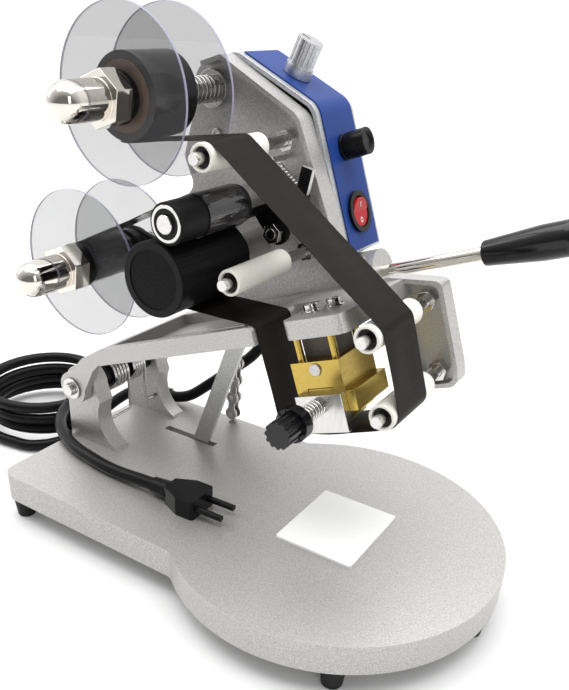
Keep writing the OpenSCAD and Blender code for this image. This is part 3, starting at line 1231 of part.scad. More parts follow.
base_casting();
print_pad();
rubber_feet();
foot_screws();
pivot_shaft();
torsion_springs();
spring_sleeve();
chain_anchor();
cord_clip();
power_cord();
power_coil();
power_plug();
feed_chain();
arm_casting();
limit_bar();
arm_screws();
handle_rod();
handle_grip();
electronics_housing();
housing_cover();
cover_screws();
control_panel();
circuit_board();
temperature_knob();
fuse_holder();
fuse_cap();
switch_body();
switch_rocker();
heat_insulator();
heater_block();
heater_cartridge();
type_holder();
type_row();
clamp_jaw();
clamp_screw();
clamp_spring();
clamp_knob();
reel_spindles();
reel_springs();
cap_nuts();
supply_discs();
supply_hub();
supply_roll();
takeup_discs();
takeup_hub();
takeup_roll();
roller_axles();
guide_roller_1();
guide_roller_2();
guide_roller_3();
guide_roller_4();
drive_roller();
feed_sprocket();
pinch_roller();
pinch_lever();
lever_spring();
drive_belt();
ribbon();
cable_gland();
power_lead();
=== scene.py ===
# %% [markdown]
# # A hot foil date coder in Blender
# The machine's construction is already made: every plate, shaft and roller stands at its real
# size and place. This lesson gives it the looks of the photograph: cast metal with a sparkling
# skin, bright nickel, brass, rubber, clear acrylic, foil, springs and the power cord.

# %% The tools and the frame
import json
import math
import bmesh
import bpy
from mathutils import Matrix, Vector


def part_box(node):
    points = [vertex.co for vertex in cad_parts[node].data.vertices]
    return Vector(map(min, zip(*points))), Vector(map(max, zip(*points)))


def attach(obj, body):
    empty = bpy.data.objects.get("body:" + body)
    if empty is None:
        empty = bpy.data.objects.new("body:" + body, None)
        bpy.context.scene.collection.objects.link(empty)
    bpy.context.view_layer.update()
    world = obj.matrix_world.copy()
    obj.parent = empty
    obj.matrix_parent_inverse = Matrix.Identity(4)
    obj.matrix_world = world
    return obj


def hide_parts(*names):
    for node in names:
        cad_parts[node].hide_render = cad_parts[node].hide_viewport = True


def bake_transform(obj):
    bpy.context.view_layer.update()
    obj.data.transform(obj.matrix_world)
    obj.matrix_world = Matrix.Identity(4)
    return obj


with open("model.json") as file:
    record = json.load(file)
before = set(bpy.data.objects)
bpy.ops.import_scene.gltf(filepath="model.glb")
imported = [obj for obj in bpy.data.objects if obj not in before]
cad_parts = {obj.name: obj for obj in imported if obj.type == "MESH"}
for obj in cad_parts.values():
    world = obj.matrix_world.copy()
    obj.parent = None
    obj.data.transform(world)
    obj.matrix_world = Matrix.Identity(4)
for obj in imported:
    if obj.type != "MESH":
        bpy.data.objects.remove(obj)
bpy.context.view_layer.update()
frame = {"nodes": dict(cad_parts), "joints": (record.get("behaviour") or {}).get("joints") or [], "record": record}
MM = 0.001
print("pieces in the frame:", len(frame["nodes"]))

# %% [markdown]
# ## Two rulers
# The machine is measured from the centre of its round platform, and all that swings is measured
# along the raised arm, from the pivot. Both rulers are read from the frame, so every later piece
# lands on the metal that carries it.

# %% Rulers of the machine and of the arm
base_low, base_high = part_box("base_casting")
shaft_low, shaft_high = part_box("pivot_shaft")
platform_y = (base_low.y + base_high.y) / 2
platform_x = base_high.x - (base_high.y - base_low.y) / 2
pivot = Vector(((shaft_low.x + shaft_high.x) / 2, platform_y, (shaft_low.z + shaft_high.z) / 2))
press = [j for j in frame["joints"] if j["name"] == "arm_press"][0]
tilt = math.radians(press["range_deg"][1])
along = Vector((math.cos(tilt), 0, math.sin(tilt)))
upward = Vector((-math.sin(tilt), 0, math.cos(tilt)))


def machine(x, y, z):
    return Vector((platform_x + x * MM, platform_y + y * MM, z * MM))


def on_arm(a, y, c):
    return pivot + along * a * MM + upward * c * MM + Vector((0, y * MM, 0))


print("pivot at", [round(v, 4) for v in pivot], "tilt", round(math.degrees(tilt), 1))

# %% [markdown]
# ## The camera
# The photograph looks down on the machine from its front left corner. A shifted lens keeps the
# upright lines as they are in the photograph, which seems to be cut from a larger one.

# %% Camera at the photograph's place
CAMERA_AT = (152.1, -317.9, 284.5)
CAMERA_TURN = 33.3
CAMERA_DOWN = 30.85
CAMERA_ROLL = 1.89
FOCAL_PX = 751.9
PHOTO_W, PHOTO_H = 569, 690
CENTRE_PX = (253.0, 457.4)
turn, down = math.radians(CAMERA_TURN), math.radians(CAMERA_DOWN)
roll = math.radians(CAMERA_ROLL)
forward = Vector((-math.sin(turn) * math.cos(down), math.cos(turn) * math.cos(down), -math.sin(down)))
level = Vector((math.cos(turn), math.sin(turn), 0))
right = level * math.cos(roll) + level.cross(forward) * math.sin(roll)
up = right.cross(forward)
lens = bpy.data.cameras.new("photo_camera")
lens.sensor_fit = "AUTO"
lens.sensor_width = 36
lens.lens = FOCAL_PX / PHOTO_H * lens.sensor_width
lens.shift_x = (PHOTO_W / 2 - CENTRE_PX[0]) / PHOTO_H
lens.shift_y = (CENTRE_PX[1] - PHOTO_H / 2) / PHOTO_H
lens.clip_start = 0.01
camera = bpy.data.objects.new("photo_camera", lens)
bpy.context.scene.collection.objects.link(camera)
camera.matrix_world = Matrix.Translation(machine(*CAMERA_AT)) @ Matrix(
    (right, up, -forward)).transposed().to_4x4()
bpy.context.scene.camera = camera
print("lens", round(lens.lens, 2), "mm")

# %% [markdown]
# ## Finishes
# Each finish is a small node tree on Object coordinates, which are metres here: a noise of scale
# 1000 has grains of a millimetre. The colour, the roughness and the bump read the same grains, so
# that a speck is bright, smooth and raised at once, as in the real coat.

# %% A finish with grain
def finish(name, colour, metallic=0.0, roughness=0.5, grain=900.0, spread=0.12, bump=0.05,
           stretch=(1, 1, 1), smear=0.0, ior=1.5):
    """A metal, plastic or rubber whose colour and roughness vary over fine grains."""
    material = bpy.data.materials.new(name)
    material.use_nodes = True
    nodes, links = material.node_tree.nodes, material.node_tree.links
    shader = nodes["Principled BSDF"]
    place = nodes.new("ShaderNodeTexCoord")
    lay = nodes.new("ShaderNodeMapping")
    lay.inputs["Scale"].default_value = stretch
    fine = nodes.new("ShaderNodeTexNoise")
    fine.inputs["Scale"].default_value = grain
    fine.inputs["Detail"].default_value = 3
    wide = nodes.new("ShaderNodeTexNoise")
    wide.inputs["Scale"].default_value = grain / 25
    both = nodes.new("ShaderNodeMix")
    both.data_type = "FLOAT"
    both.inputs[0].default_value = smear
    tones = nodes.new("ShaderNodeValToRGB")
    low = [max(0.0, v * (1 - spread)) for v in colour[:3]]
    high = [min(1.0, v * (1 + spread)) for v in colour[:3]]
    tones.color_ramp.elements[0].position, tones.color_ramp.elements[1].position = 0.36, 0.64
    tones.color_ramp.elements[0].color = (*low, 1)
    tones.color_ramp.elements[1].color = (*high, 1)
    shine = nodes.new("ShaderNodeMapRange")
    shine.inputs["To Min"].default_value = min(1.0, roughness * (1 + spread))
    shine.inputs["To Max"].default_value = roughness * (1 - spread)
    relief = nodes.new("ShaderNodeBump")
    relief.inputs["Strength"].default_value = min(1.0, bump * 4)
    relief.inputs["Distance"].default_value = bump * MM
    links.new(place.outputs["Object"], lay.inputs["Vector"])
    links.new(lay.outputs["Vector"], fine.inputs["Vector"])
    links.new(lay.outputs["Vector"], wide.inputs["Vector"])
    links.new(fine.outputs["Fac"], both.inputs[2])
    links.new(wide.outputs["Fac"], both.inputs[3])
    links.new(both.outputs[0], tones.inputs["Fac"])
    links.new(both.outputs[0], shine.inputs["Value"])
    links.new(both.outputs[0], relief.inputs["Height"])
    links.new(tones.outputs["Color"], shader.inputs["Base Color"])
    links.new(shine.outputs["Result"], shader.inputs["Roughness"])
    links.new(relief.outputs["Normal"], shader.inputs["Normal"])
    shader.inputs["Metallic"].default_value = metallic
    shader.inputs["IOR"].default_value = ior
    return material


cast_silver = finish("cast_silver", (0.48, 0.472, 0.46), 0.6, 0.4, 1600, 0.21, 0.055)
print(cast_silver.name, "has", len(cast_silver.node_tree.nodes), "nodes")

# %% The other finishes
sheet_silver = finish("sheet_silver", (0.47, 0.48, 0.5), 0.6, 0.4, 1500, 0.22, 0.05)
steel = finish("plain_steel", (0.5, 0.49, 0.47), 1.0, 0.32, 900, 0.1, 0.02, smear=0.3)
bright_steel = finish("bright_steel", (0.64, 0.63, 0.61), 1.0, 0.16, 900, 0.05, 0.01)
nickel = finish("bright_nickel", (0.74, 0.7, 0.64), 1.0, 0.06, 400, 0.03, 0.004)
drawn_steel = finish("drawn_steel", (0.64, 0.63, 0.61), 1.0, 0.26, 900, 0.05, 0.008, (1, 1, 0.08))
zinc = finish("zinc_plate", (0.5, 0.5, 0.48), 0.75, 0.42, 1500, 0.12, 0.03)
ribbed = finish("ribbed_rubber", (0.006, 0.006, 0.0065), 0.0, 0.42, 1000, 0.35, 0.16, (1, 0.02, 1), ior=1.17)
brass = finish("milled_brass", (0.5, 0.36, 0.09), 1.0, 0.24, 900, 0.1, 0.02, (1, 0.15, 1), 0.3)
dull_brass = finish("type_brass", (0.52, 0.38, 0.17), 1.0, 0.4, 900, 0.15, 0.03)
turned = finish("turned_aluminium", (0.5, 0.5, 0.51), 1.0, 0.36, 1200, 0.1, 0.02, (1, 0.1, 1))
rubber = finish("black_rubber", (0.011, 0.011, 0.012), 0.0, 0.5, 1400, 0.3, 0.03, ior=1.28)
smooth_rubber = finish("roller_rubber", (0.008, 0.008, 0.0085), 0.0, 0.4, 1500, 0.25, 0.015, ior=1.22)
black = finish("black_plastic", (0.005, 0.005, 0.0055), 0.0, 0.26, 900, 0.2, 0.008, ior=1.26)
grip_black = finish("grip_plastic", (0.006, 0.006, 0.007), 0.0, 0.16, 700, 0.2, 0.006, ior=1.42)
panel_blue = finish("panel_blue", (0.016, 0.048, 0.22), 0.0, 0.36, 1800, 0.06, 0.012, ior=1.2)
ivory = finish("ivory_nylon", (0.82, 0.8, 0.72), 0.0, 0.33, 900, 0.03, 0.01)
red = finish("rocker_red", (0.42, 0.005, 0.009), 0.0, 0.2, 900, 0.06, 0.006, ior=1.28)
pad_white = finish("pad_silicone", (0.95, 0.95, 0.93), 0.0, 0.55, 1600, 0.03, 0.02)
foil = finish("coding_foil", (0.0155, 0.013, 0.011), 0.0, 0.4, 300, 0.12, 0.004, (1, 0.2, 1), 0.5, ior=1.12)
used_foil = finish("used_foil", (0.02, 0.018, 0.02), 0.0, 0.1, 260, 0.5, 0.9, (1, 0.25, 1), 0.25, ior=1.6)
board_green = finish("board_green", (0.02, 0.16, 0.05), 0.0, 0.35, 1200, 0.1, 0.01)
laminate = finish("heat_laminate", (0.1, 0.085, 0.07), 0.0, 0.6, 900, 0.2, 0.02, (1, 1, 4))
jacket = finish("cord_jacket", (0.006, 0.006, 0.0065), 0.0, 0.32, 900, 0.25, 0.012, ior=1.24)
white_mark = finish("white_mark", (0.85, 0.85, 0.85), 0.0, 0.5, 900, 0.02, 0.0)
print("materials in the file, the frame's own among them:", len(bpy.data.materials))

# %% [markdown]
# Clear acrylic lets the light through its faces and gathers it at its rim, which glows violet in
# the photograph. Two finishes make that: a clear one, and a tinted one for the rim alone. So thin a
# sheet bends nothing visibly, so it covers a small share of what lies behind and adds its gloss.

# %% Clear acrylic
def acrylic(name, colour, roughness, cover, ior):
    material = bpy.data.materials.new(name)
    material.use_nodes = True
    nodes, links = material.node_tree.nodes, material.node_tree.links
    shader = nodes["Principled BSDF"]
    place = nodes.new("ShaderNodeTexCoord")
    haze = nodes.new("ShaderNodeTexNoise")
    haze.inputs["Scale"].default_value = 60
    smear = nodes.new("ShaderNodeMapRange")
    smear.inputs["To Min"].default_value = roughness
    smear.inputs["To Max"].default_value = roughness * 2
    links.new(place.outputs["Object"], haze.inputs["Vector"])
    links.new(haze.outputs["Fac"], smear.inputs["Value"])
    links.new(smear.outputs["Result"], shader.inputs["Roughness"])
    shader.inputs["Base Color"].default_value = (*colour, 1)
    shader.inputs["Alpha"].default_value = cover
    shader.inputs["IOR"].default_value = ior
    return material


clear = acrylic("clear_acrylic", (0.06, 0.06, 0.065), 0.02, 0.28, 1.45)
clear_rim = acrylic("acrylic_rim", (0.34, 0.33, 0.46), 0.2, 0.8, 1.5)
print("acrylic finishes:", clear.name, clear_rim.name)

# %% [markdown]
# ## Rounded edges
# No real edge is sharp: a cast one is soft, a milled one is broken with a file, and that line of
# light is what makes a piece look solid. A copy of each CAD piece is merged, its flat faces are
# joined, and a narrow bevel goes round its corners. The CAD piece itself stays untouched.

# %% From a mesh to a piece
def put(name, mesh, body, *materials):
    """A finished mesh becomes a piece that moves with a body, if one is given."""
    piece = bpy.data.objects.new(name, mesh)
    bpy.context.scene.collection.objects.link(piece)
    for material in materials:
        mesh.materials.append(material)
    if body:
        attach(piece, body)
    return piece


def soften(mesh, degrees=35):
    mesh.shade_smooth()
    mesh.set_sharp_from_angle(angle=math.radians(degrees))


def mesh_of(work, name):
    """The mesh of a finished bmesh, with its faces turned outward."""
    bmesh.ops.recalc_face_normals(work, faces=work.faces)
    mesh = bpy.data.meshes.new(name)
    work.to_mesh(mesh)
    work.free()
    return mesh


def body_of(node):
    return [b for b, ns in frame["record"]["behaviour"]["bodies"].items() if node in ns][0]


print("the arm's casting moves with:", body_of("arm_casting"))


# %% A rounded copy of a CAD piece
def refine(node, material, width=0.3, segments=2, angle=32):
    """The CAD piece with rounded edges and its finish; width is the bevel in millimetres."""
    mesh = frame["nodes"][node].data.copy()
    mesh.materials.clear()
    work = bmesh.new()
    work.from_mesh(mesh)
    bmesh.ops.remove_doubles(work, verts=work.verts, dist=2e-6)
    bmesh.ops.dissolve_limit(work, angle_limit=math.radians(1), verts=work.verts, edges=work.edges)
    work.to_mesh(mesh)
    work.free()
    rough = bpy.data.objects.new(node + "_rough", mesh)
    bpy.context.scene.collection.objects.link(rough)
    bevel = rough.modifiers.new("edges", "BEVEL")
    bevel.width = width * MM
    bevel.segments = segments
    bevel.limit_method = "ANGLE"
    bevel.angle_limit = math.radians(angle)
    bevel.miter_outer = "MITER_ARC"
    mesh.shade_smooth()
    weights = rough.modifiers.new("normals", "WEIGHTED_NORMAL")
    weights.keep_sharp = True
    bpy.context.view_layer.update()
    made = bpy.data.meshes.new_from_object(rough.evaluated_get(bpy.context.evaluated_depsgraph_get()))
    bpy.data.objects.remove(rough)
    made.materials.clear()
    piece = put(node + "_finished", made, body_of(node), material)
    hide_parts(node)
    return piece


finished = {}
for node, width in [("base_casting", 2.0), ("arm_casting", 0.8)]:
    finished[node] = refine(node, cast_silver, width, 3)
print("rounded castings:", list(finished))

# %% The other pieces, their finishes and the width of their edges
for node, material, width in [
        ("print_pad", pad_white, 0.4), ("rubber_feet", rubber, 0.8), ("foot_screws", steel, 0.2),
        ("pivot_shaft", bright_steel, 0.4), ("spring_sleeve", black, 0.2), ("chain_anchor", steel, 0.2),
        ("cord_clip", steel, 0.15), ("limit_bar", zinc, 0.4), ("arm_screws", bright_steel, 0.35),
        ("handle_rod", nickel, 0.4), ("handle_grip", grip_black, 0.5), ("electronics_housing", sheet_silver, 0.6),
        ("housing_cover", sheet_silver, 0.4), ("cover_screws", steel, 0.2), ("control_panel", panel_blue, 0.2),
        ("circuit_board", board_green, 0.1), ("temperature_knob", turned, 0.3), ("fuse_holder", black, 0.4),
        ("fuse_cap", black, 0.7), ("switch_body", black, 0.5), ("switch_rocker", red, 0.4),
        ("heat_insulator", laminate, 0.2), ("heater_block", brass, 0.4), ("heater_cartridge", steel, 0.3),
        ("type_holder", brass, 0.4), ("type_row", dull_brass, 0.1), ("clamp_jaw", drawn_steel, 0.5),
        ("clamp_screw", bright_steel, 0.3), ("clamp_knob", grip_black, 0.5), ("reel_spindles", bright_steel, 0.4),
        ("cap_nuts", nickel, 0.7), ("supply_hub", black, 0.5), ("takeup_hub", black, 0.5),
        ("roller_axles", bright_steel, 0.35), ("guide_roller_1", ivory, 0.5), ("guide_roller_2", ivory, 0.5),
        ("guide_roller_3", ivory, 0.5), ("guide_roller_4", ivory, 0.5), ("drive_roller", ribbed, 0.7),
        ("feed_sprocket", steel, 0.2), ("pinch_lever", black, 0.4), ("cable_gland", black, 0.4),
        ("power_plug", jacket, 0.8), ("pinch_roller", smooth_rubber, 0.6)]:
    finished[node] = refine(node, material, width)
print("rounded pieces:", len(finished))

# %% [markdown]
# ## Wire, cord and belt
# Springs, cords and the belt are one thing: a round section carried along a line. The line is
# worked out in plain code, and a small node tree turns it into a curve and sweeps a circle
# along it. Hand-made rings would do as well, but the tree keeps the twist even by itself.

# %% A node tree that sweeps a round section along a line
def new_tree(name, *inputs):
    """A node tree with a geometry input, more named inputs and a geometry output."""
    tree = bpy.data.node_groups.new(name, "GeometryNodeTree")
    tree.interface.new_socket("Shape", in_out="INPUT", socket_type="NodeSocketGeometry")
    for title, kind in inputs:
        tree.interface.new_socket(title, in_out="INPUT", socket_type="NodeSocket" + kind)
    tree.interface.new_socket("Piece", in_out="OUTPUT", socket_type="NodeSocketGeometry")
    return tree, tree.nodes.new("NodeGroupInput").outputs, tree.nodes.new("NodeGroupOutput").inputs


def close_tree(tree, geometry, given, result):
    """Every tree ends in real geometry with its finish."""
    real = tree.nodes.new("GeometryNodeRealizeInstances")
    coat = tree.nodes.new("GeometryNodeSetMaterial")
    tree.links.new(geometry, real.inputs[0])
    tree.links.new(real.outputs[0], coat.inputs["Geometry"])
    tree.links.new(given["Finish"], coat.inputs["Material"])
    tree.links.new(coat.outputs[0], result["Piece"])


sweep, given, result = new_tree("round_section", ("Radius", "Float"), ("Sides", "Int"), ("Finish", "Material"))
line = sweep.nodes.new("GeometryNodeMeshToCurve")
section = sweep.nodes.new("GeometryNodeCurvePrimitiveCircle")
swept = sweep.nodes.new("GeometryNodeCurveToMesh")
swept.inputs["Fill Caps"].default_value = True
sweep.links.new(given["Shape"], line.inputs["Mesh"])
sweep.links.new(given["Radius"], section.inputs["Radius"])
sweep.links.new(given["Sides"], section.inputs["Resolution"])
sweep.links.new(line.outputs[0], swept.inputs["Curve"])
sweep.links.new(section.outputs[0], swept.inputs["Profile Curve"])
close_tree(sweep, swept.outputs[0], given, result)
print("tree:", sweep.name)


# %% Wires from lines of points
def grow(name, tree, mesh, **settings):
    """Runs a node tree on a mesh and gives back the plain mesh that it makes."""
    rough = bpy.data.objects.new(name + "_rough", mesh)
    bpy.context.scene.collection.objects.link(rough)
    modifier = rough.modifiers.new("tree", "NODES")
    modifier.node_group = tree
    for socket in tree.interface.items_tree:
        if socket.item_type == "SOCKET" and socket.name in settings:
            modifier[socket.identifier] = settings[socket.name]
    bpy.context.view_layer.update()
    made = bpy.data.meshes.new_from_object(rough.evaluated_get(bpy.context.evaluated_depsgraph_get()))
    bpy.data.objects.remove(rough)
    return made


def wire(name, points, radius, material, body, sides=12, closed=False):
    """A wire or cord along the points, with its radius in millimetres."""
    mesh = bpy.data.meshes.new(name)
    count = len(points)
    edges = [(i, (i + 1) % count) for i in range(count if closed else count - 1)]
    mesh.from_pydata(points, edges, [])
    made = grow(name, sweep, mesh, Radius=radius * MM, Sides=sides, Finish=material)
    soften(made, 50)
    return put(name, made, body)


def smooth(route, steps):
    """The same smooth line through a route's points as in the machine's source."""
    route = [Vector(p) for p in route]
    made = []
    for i in range(len(route) - 1):
        a, b, c, d = route[max(i - 1, 0)], route[i], route[i + 1], route[min(i + 2, len(route) - 1)]
        for k in range(steps):
            s = k / steps
            made.append(0.5 * (2 * b + (c - a) * s + (2 * a - 5 * b + 4 * c - d) * s ** 2
                               + (3 * b - a - 3 * c + d) * s ** 3))
    return made + [route[-1]]


print("smooth line:", len(smooth([(0, 0, 0), (1, 0, 0), (1, 1, 0)], 4)), "points from 3")

# %% [markdown]
# ## The power cord
# The photograph shows the black cord in loops behind the base and a strand that comes over the
# rear edge. The free cord starts at the clip on the base, goes down to the table into a loose
# coil and comes back up onto the base with its plug. The route is the one of the construction.

# %% The free cord
CORD_D = 8.0
COIL_X, COIL_Y, COIL_R, COIL_WIDE, COIL_SWAY = -275, 33, 41, 7, 1.5
COIL_PITCH, COIL_FROM, COIL_END, COIL_TURNS = 8.7, -80, 25, 4
CORD_LIFT = 0.15
coil_total = 360 * COIL_TURNS - COIL_END + COIL_FROM


def coil_point(s):
    r = COIL_R + COIL_WIDE * max(0, 1 - s / 360) + COIL_SWAY * math.sin(math.radians(0.7 * s))
    a = math.radians(COIL_FROM - s)
    return Vector((COIL_X + r * math.cos(a), COIL_Y + r * math.sin(a),
                   CORD_D / 2 + CORD_LIFT + COIL_PITCH * s / 360))


def coil_along(s):
    a = math.radians(COIL_FROM - s)
    return Vector((math.sin(a), -math.cos(a), 0))


coil_rings = round(36 * coil_total / 360)
coil = [coil_point(coil_total * i / coil_rings) for i in range(coil_rings + 1)]
coil_first = coil_point(0) - CORD_D * coil_along(0)
coil_last = coil_point(coil_total) + CORD_D * coil_along(coil_total)
CORD_IN = [(-178.9, 66, 37.5), (-188, 66, 37.5), (-198, 64.5, 36.6), (-207, 60, 33.2), (-214, 52.5, 28),
           (-219, 43, 22), (-222, 32, 16), (-224.5, 20.5, 10.8), (-228.5, 9.5, 7), (-235, 0, 5), (-244, -8, 4.2)]
CORD_OUT = [(-228, 22, 36.8), (-223.5, 9, 36), (-215, -4.5, 35.8), (-203.5, -15.5, 36.2), (-190, -23.5, 36.3),
            (-175, -29.5, 36.3), (-160, -32.6, 36.3), (-145, -34.8, 36.3), (-131, -35.4, 36.5),
            (-117, -35.2, 37.4), (-104, -34.8, 38)]
way_in = smooth(CORD_IN + [coil_first - CORD_D * coil_along(0), coil_first], 4)
way_out = smooth([coil_last, coil_last + CORD_D * coil_along(coil_total)] + CORD_OUT, 4)
route = [machine(*p) for p in way_in + coil + way_out]
power_cord = wire("power_cord_jacket", route, CORD_D / 2, jacket, "stand", 16)
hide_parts("power_cord", "power_coil")

# %% [markdown]
# The lead from the housing to the clip crosses the pivot, and on the machine it bends as the arm goes
# down; here it is made in one pose and moves with no body. At the gland a ribbed, tapered sleeve keeps it from
# kinking.

# %% The lead and its strain relief
LEAD = [(87, 88, 38), (87, 88, 20), (85, 87.5, 4), (78, 86, -9), (65, 83, -19), (47, 79, -26),
        (29, 74, -33), (13, 69, -38.5), (1, 66, -38.2), (-8, 66, -34.9)]
lead_line = smooth(LEAD, 6)
lead = wire("lead_jacket", [on_arm(*p) for p in lead_line], CORD_D / 2, jacket, None, 16)
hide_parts("power_lead")
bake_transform(lead)


def sleeve(name, line, radii, material, body, sides=24):
    """Rings of the given radii along a line, closed at both ends."""
    work = bmesh.new()
    rings = []
    for i, radius in enumerate(radii):
        t = (line[min(i + 1, len(line) - 1)] - line[max(i - 1, 0)]).normalized()
        side = t.cross(Vector((0, 1, 0))).normalized()
        other = t.cross(side)
        rings.append([work.verts.new(line[i] + radius * MM * (
            math.cos(math.tau * k / sides) * side + math.sin(math.tau * k / sides) * other)) for k in range(sides)])
    for ring, after in zip(rings, rings[1:]):
        for k in range(sides):
            work.faces.new((ring[k], ring[(k + 1) % sides], after[(k + 1) % sides], after[k]))
    work.faces.new(rings[0][::-1])
    work.faces.new(rings[-1])
    mesh = mesh_of(work, name)
    soften(mesh, 40)
    return put(name, mesh, body, material)


GLAND_A, GLAND_Y, RELIEF_TOP, RELIEF_L, RELIEF_RIBS = 87, 88, 23, 27.0, 9
RELIEF_R, RELIEF_TAPER, RIB_DEPTH = 6.4, 1.9, 0.5
relief_line, relief_radii = [], []
for i in range(RELIEF_RIBS * 4 + 1):
    s = i / (RELIEF_RIBS * 4)
    relief_line.append(on_arm(GLAND_A, GLAND_Y, RELIEF_TOP - RELIEF_L * s))
    relief_radii.append(RELIEF_R - RELIEF_TAPER * s - (RIB_DEPTH if i % 4 in (2, 3) else 0))
sleeve("lead_strain_relief", relief_line, relief_radii, rubber, "arm")
print("strain relief", RELIEF_L, "mm,", RELIEF_RIBS, "ribs")

# %% [markdown]
# ## The springs
# Two strong torsion springs lift the arm. Each has a short leg held in an upright, which stays
# still, and curls that wind up as the arm comes down. The legs move with the stand; the curls are made in one pose
# and move with no body.

# %% Torsion springs
SHAFT_X, SHAFT_Z = -183, 73
TORSION_R, TORSION_WIRE, LEG_Z, ARM_LEG, ARM_LEG_ANGLE, CURLS = 10.95, 2.1, -27.0, 11.4, 320, 5
BEND, BEND_RISE, CURL_STEPS = 2.4, 0.5, 28
for name, y0, y1, wall in [("near", 20, 6, -3), ("far", 36, 24, 48)]:
    out = 1 if wall > y0 else -1
    leg = [(TORSION_R, wall, LEG_Z), (TORSION_R, y0 + out * BEND, LEG_Z),
           (TORSION_R, y0 + out * BEND / 2, LEG_Z + BEND_RISE), (TORSION_R, y0, LEG_Z + BEND)]
    turns = CURLS - 1 + ARM_LEG_ANGLE / 360
    count = round(CURL_STEPS * turns)
    curls = [(TORSION_R, y0, LEG_Z + BEND)]
    for i in range(count + 1):
        s = math.radians(360 * turns * i / count)
        curls.append((TORSION_R * math.cos(s), y0 + (y1 - y0) * i / count, TORSION_R * math.sin(s)))
    last = math.radians(ARM_LEG_ANGLE)
    curls.append((curls[-1][0] - ARM_LEG * math.sin(last), y1, curls[-1][2] + ARM_LEG * math.cos(last)))
    still = wire(f"torsion_leg_{name}", [machine(SHAFT_X + x, y, SHAFT_Z + z) for x, y, z in leg],
                 TORSION_WIRE / 2, bright_steel, "stand")
    wound_part = wire(f"torsion_curls_{name}", [machine(SHAFT_X + x, y, SHAFT_Z + z) for x, y, z in curls],
                      TORSION_WIRE / 2, bright_steel, None, 14)
    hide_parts("torsion_springs")
    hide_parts("torsion_springs")
    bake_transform(wound_part)
print("torsion springs, curls:", CURLS)

# %% [markdown]
# The other springs are smaller: one behind each reel brakes it, one under the clamp knob, and a
# thin one pulls the pinch lever in.

# %% Compression springs
def curl_line(a, c, r, y0, y1, count, rings=20):
    return [on_arm(a + r * math.cos(math.tau * count * i / (count * rings)), y0 + (y1 - y0) * i / (count * rings),
                   c + r * math.sin(math.tau * count * i / (count * rings))) for i in range(count * rings + 1)]


SUPPLY, TAKEUP = (110.5, 142.8), (43.5, 71.8)
HEAD_A, CLAMP_C = 182.41, -21.56
for name, line_points, half, body in [
        ("supply_brake_spring", curl_line(*SUPPLY, 6.5, 24.1, 54, 8), 0.7, "arm"),
        ("takeup_brake_spring", curl_line(*TAKEUP, 6.5, 32.1, 54, 6), 0.7, "arm"),
        ("clamp_coil", curl_line(HEAD_A, CLAMP_C, 3.9, -41.15, -22.95, 7), 0.6, "type_drawer")]:
    made = wire(name, line_points, half, bright_steel, body)
    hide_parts("clamp_spring" if name == "clamp_coil" else "reel_springs")

print("reel and clamp springs done")

# %% The lever's spring
post, hook, SPRING_Y, HOOK_R, HOOK_CURLS = Vector((145, 0, 97)), Vector((160, 0, 74)), 47, 2.0, 9
EYE, SHANK, HOOK_STEPS = 2.2, 2.4, 16
way = (hook - post).normalized()
aside = Vector((-way.z, 0, way.x))
reach = (hook - post).length
hook_line = [post + EYE * way]
for i in range(HOOK_CURLS * HOOK_STEPS + 1):
    s = math.tau * i / HOOK_STEPS
    x = EYE + SHANK + (reach - 2 * EYE - 2 * SHANK) * i / (HOOK_CURLS * HOOK_STEPS)
    hook_line.append(post + x * way + HOOK_R * (math.cos(s) * aside + math.sin(s) * Vector((0, 1, 0))))
hook_line.append(post + (reach - EYE) * way)
lever_pull = wire("lever_pull_spring", [on_arm(p.x, SPRING_Y + p.y, p.z) for p in hook_line], 0.4, bright_steel,
                  None, 8)
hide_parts("lever_spring")
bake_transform(lever_pull)
print("lever's spring:", round(reach), "mm from post to hook")

# %% [markdown]
# ## The belt
# A round rubber belt takes the drive roller's turning to the used reel. It is crossed, so that
# the reel turns the other way. Where its two runs cross they pass beside each other.

# %% The crossed belt
DRIVE, BELT_Y, BELT_R, PULLEY_R, HUB_R = (113.8, 56.3), 27.1, 1.4, 12.0, 12.5
gap_a, gap_c = TAKEUP[0] - DRIVE[0], TAKEUP[1] - DRIVE[1]
slope = math.atan2(gap_c, gap_a)
opening = math.acos((PULLEY_R + HUB_R) / math.hypot(gap_a, gap_c))
belt_steps = 12


def belt_arc(at, r, begin, end):
    return [(at[0] + r * math.cos(begin + (end - begin) * i / 40), BELT_Y,
             at[1] + r * math.sin(begin + (end - begin) * i / 40)) for i in range(41)]


def belt_run(p, q, side):
    return [(p[0] + (q[0] - p[0]) * i / belt_steps, BELT_Y + side * 2 * math.sin(math.pi * i / belt_steps),
             p[2] + (q[2] - p[2]) * i / belt_steps) for i in range(1, belt_steps)]


first = belt_arc(DRIVE, PULLEY_R, slope + opening, slope + math.tau - opening)
second = belt_arc(TAKEUP, HUB_R, slope + 3 * math.pi - opening, slope + math.pi + opening)
loop = first + belt_run(first[-1], second[0], 1) + second + belt_run(second[-1], first[0], -1)
belt = wire("round_belt", [on_arm(*p) for p in loop], BELT_R, rubber, "arm", 12, closed=True)
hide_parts("drive_belt")
print("belt", round(sum(math.dist(p, q) for p, q in zip(loop, loop[1:]))), "mm long")

# %% [markdown]
# ## Reels and rolls
# The discs, the rolls and other round pieces are turned on a lathe. Here a closed profile of
# radius and depth is carried round the reel's axis, which gives even, clean faces.

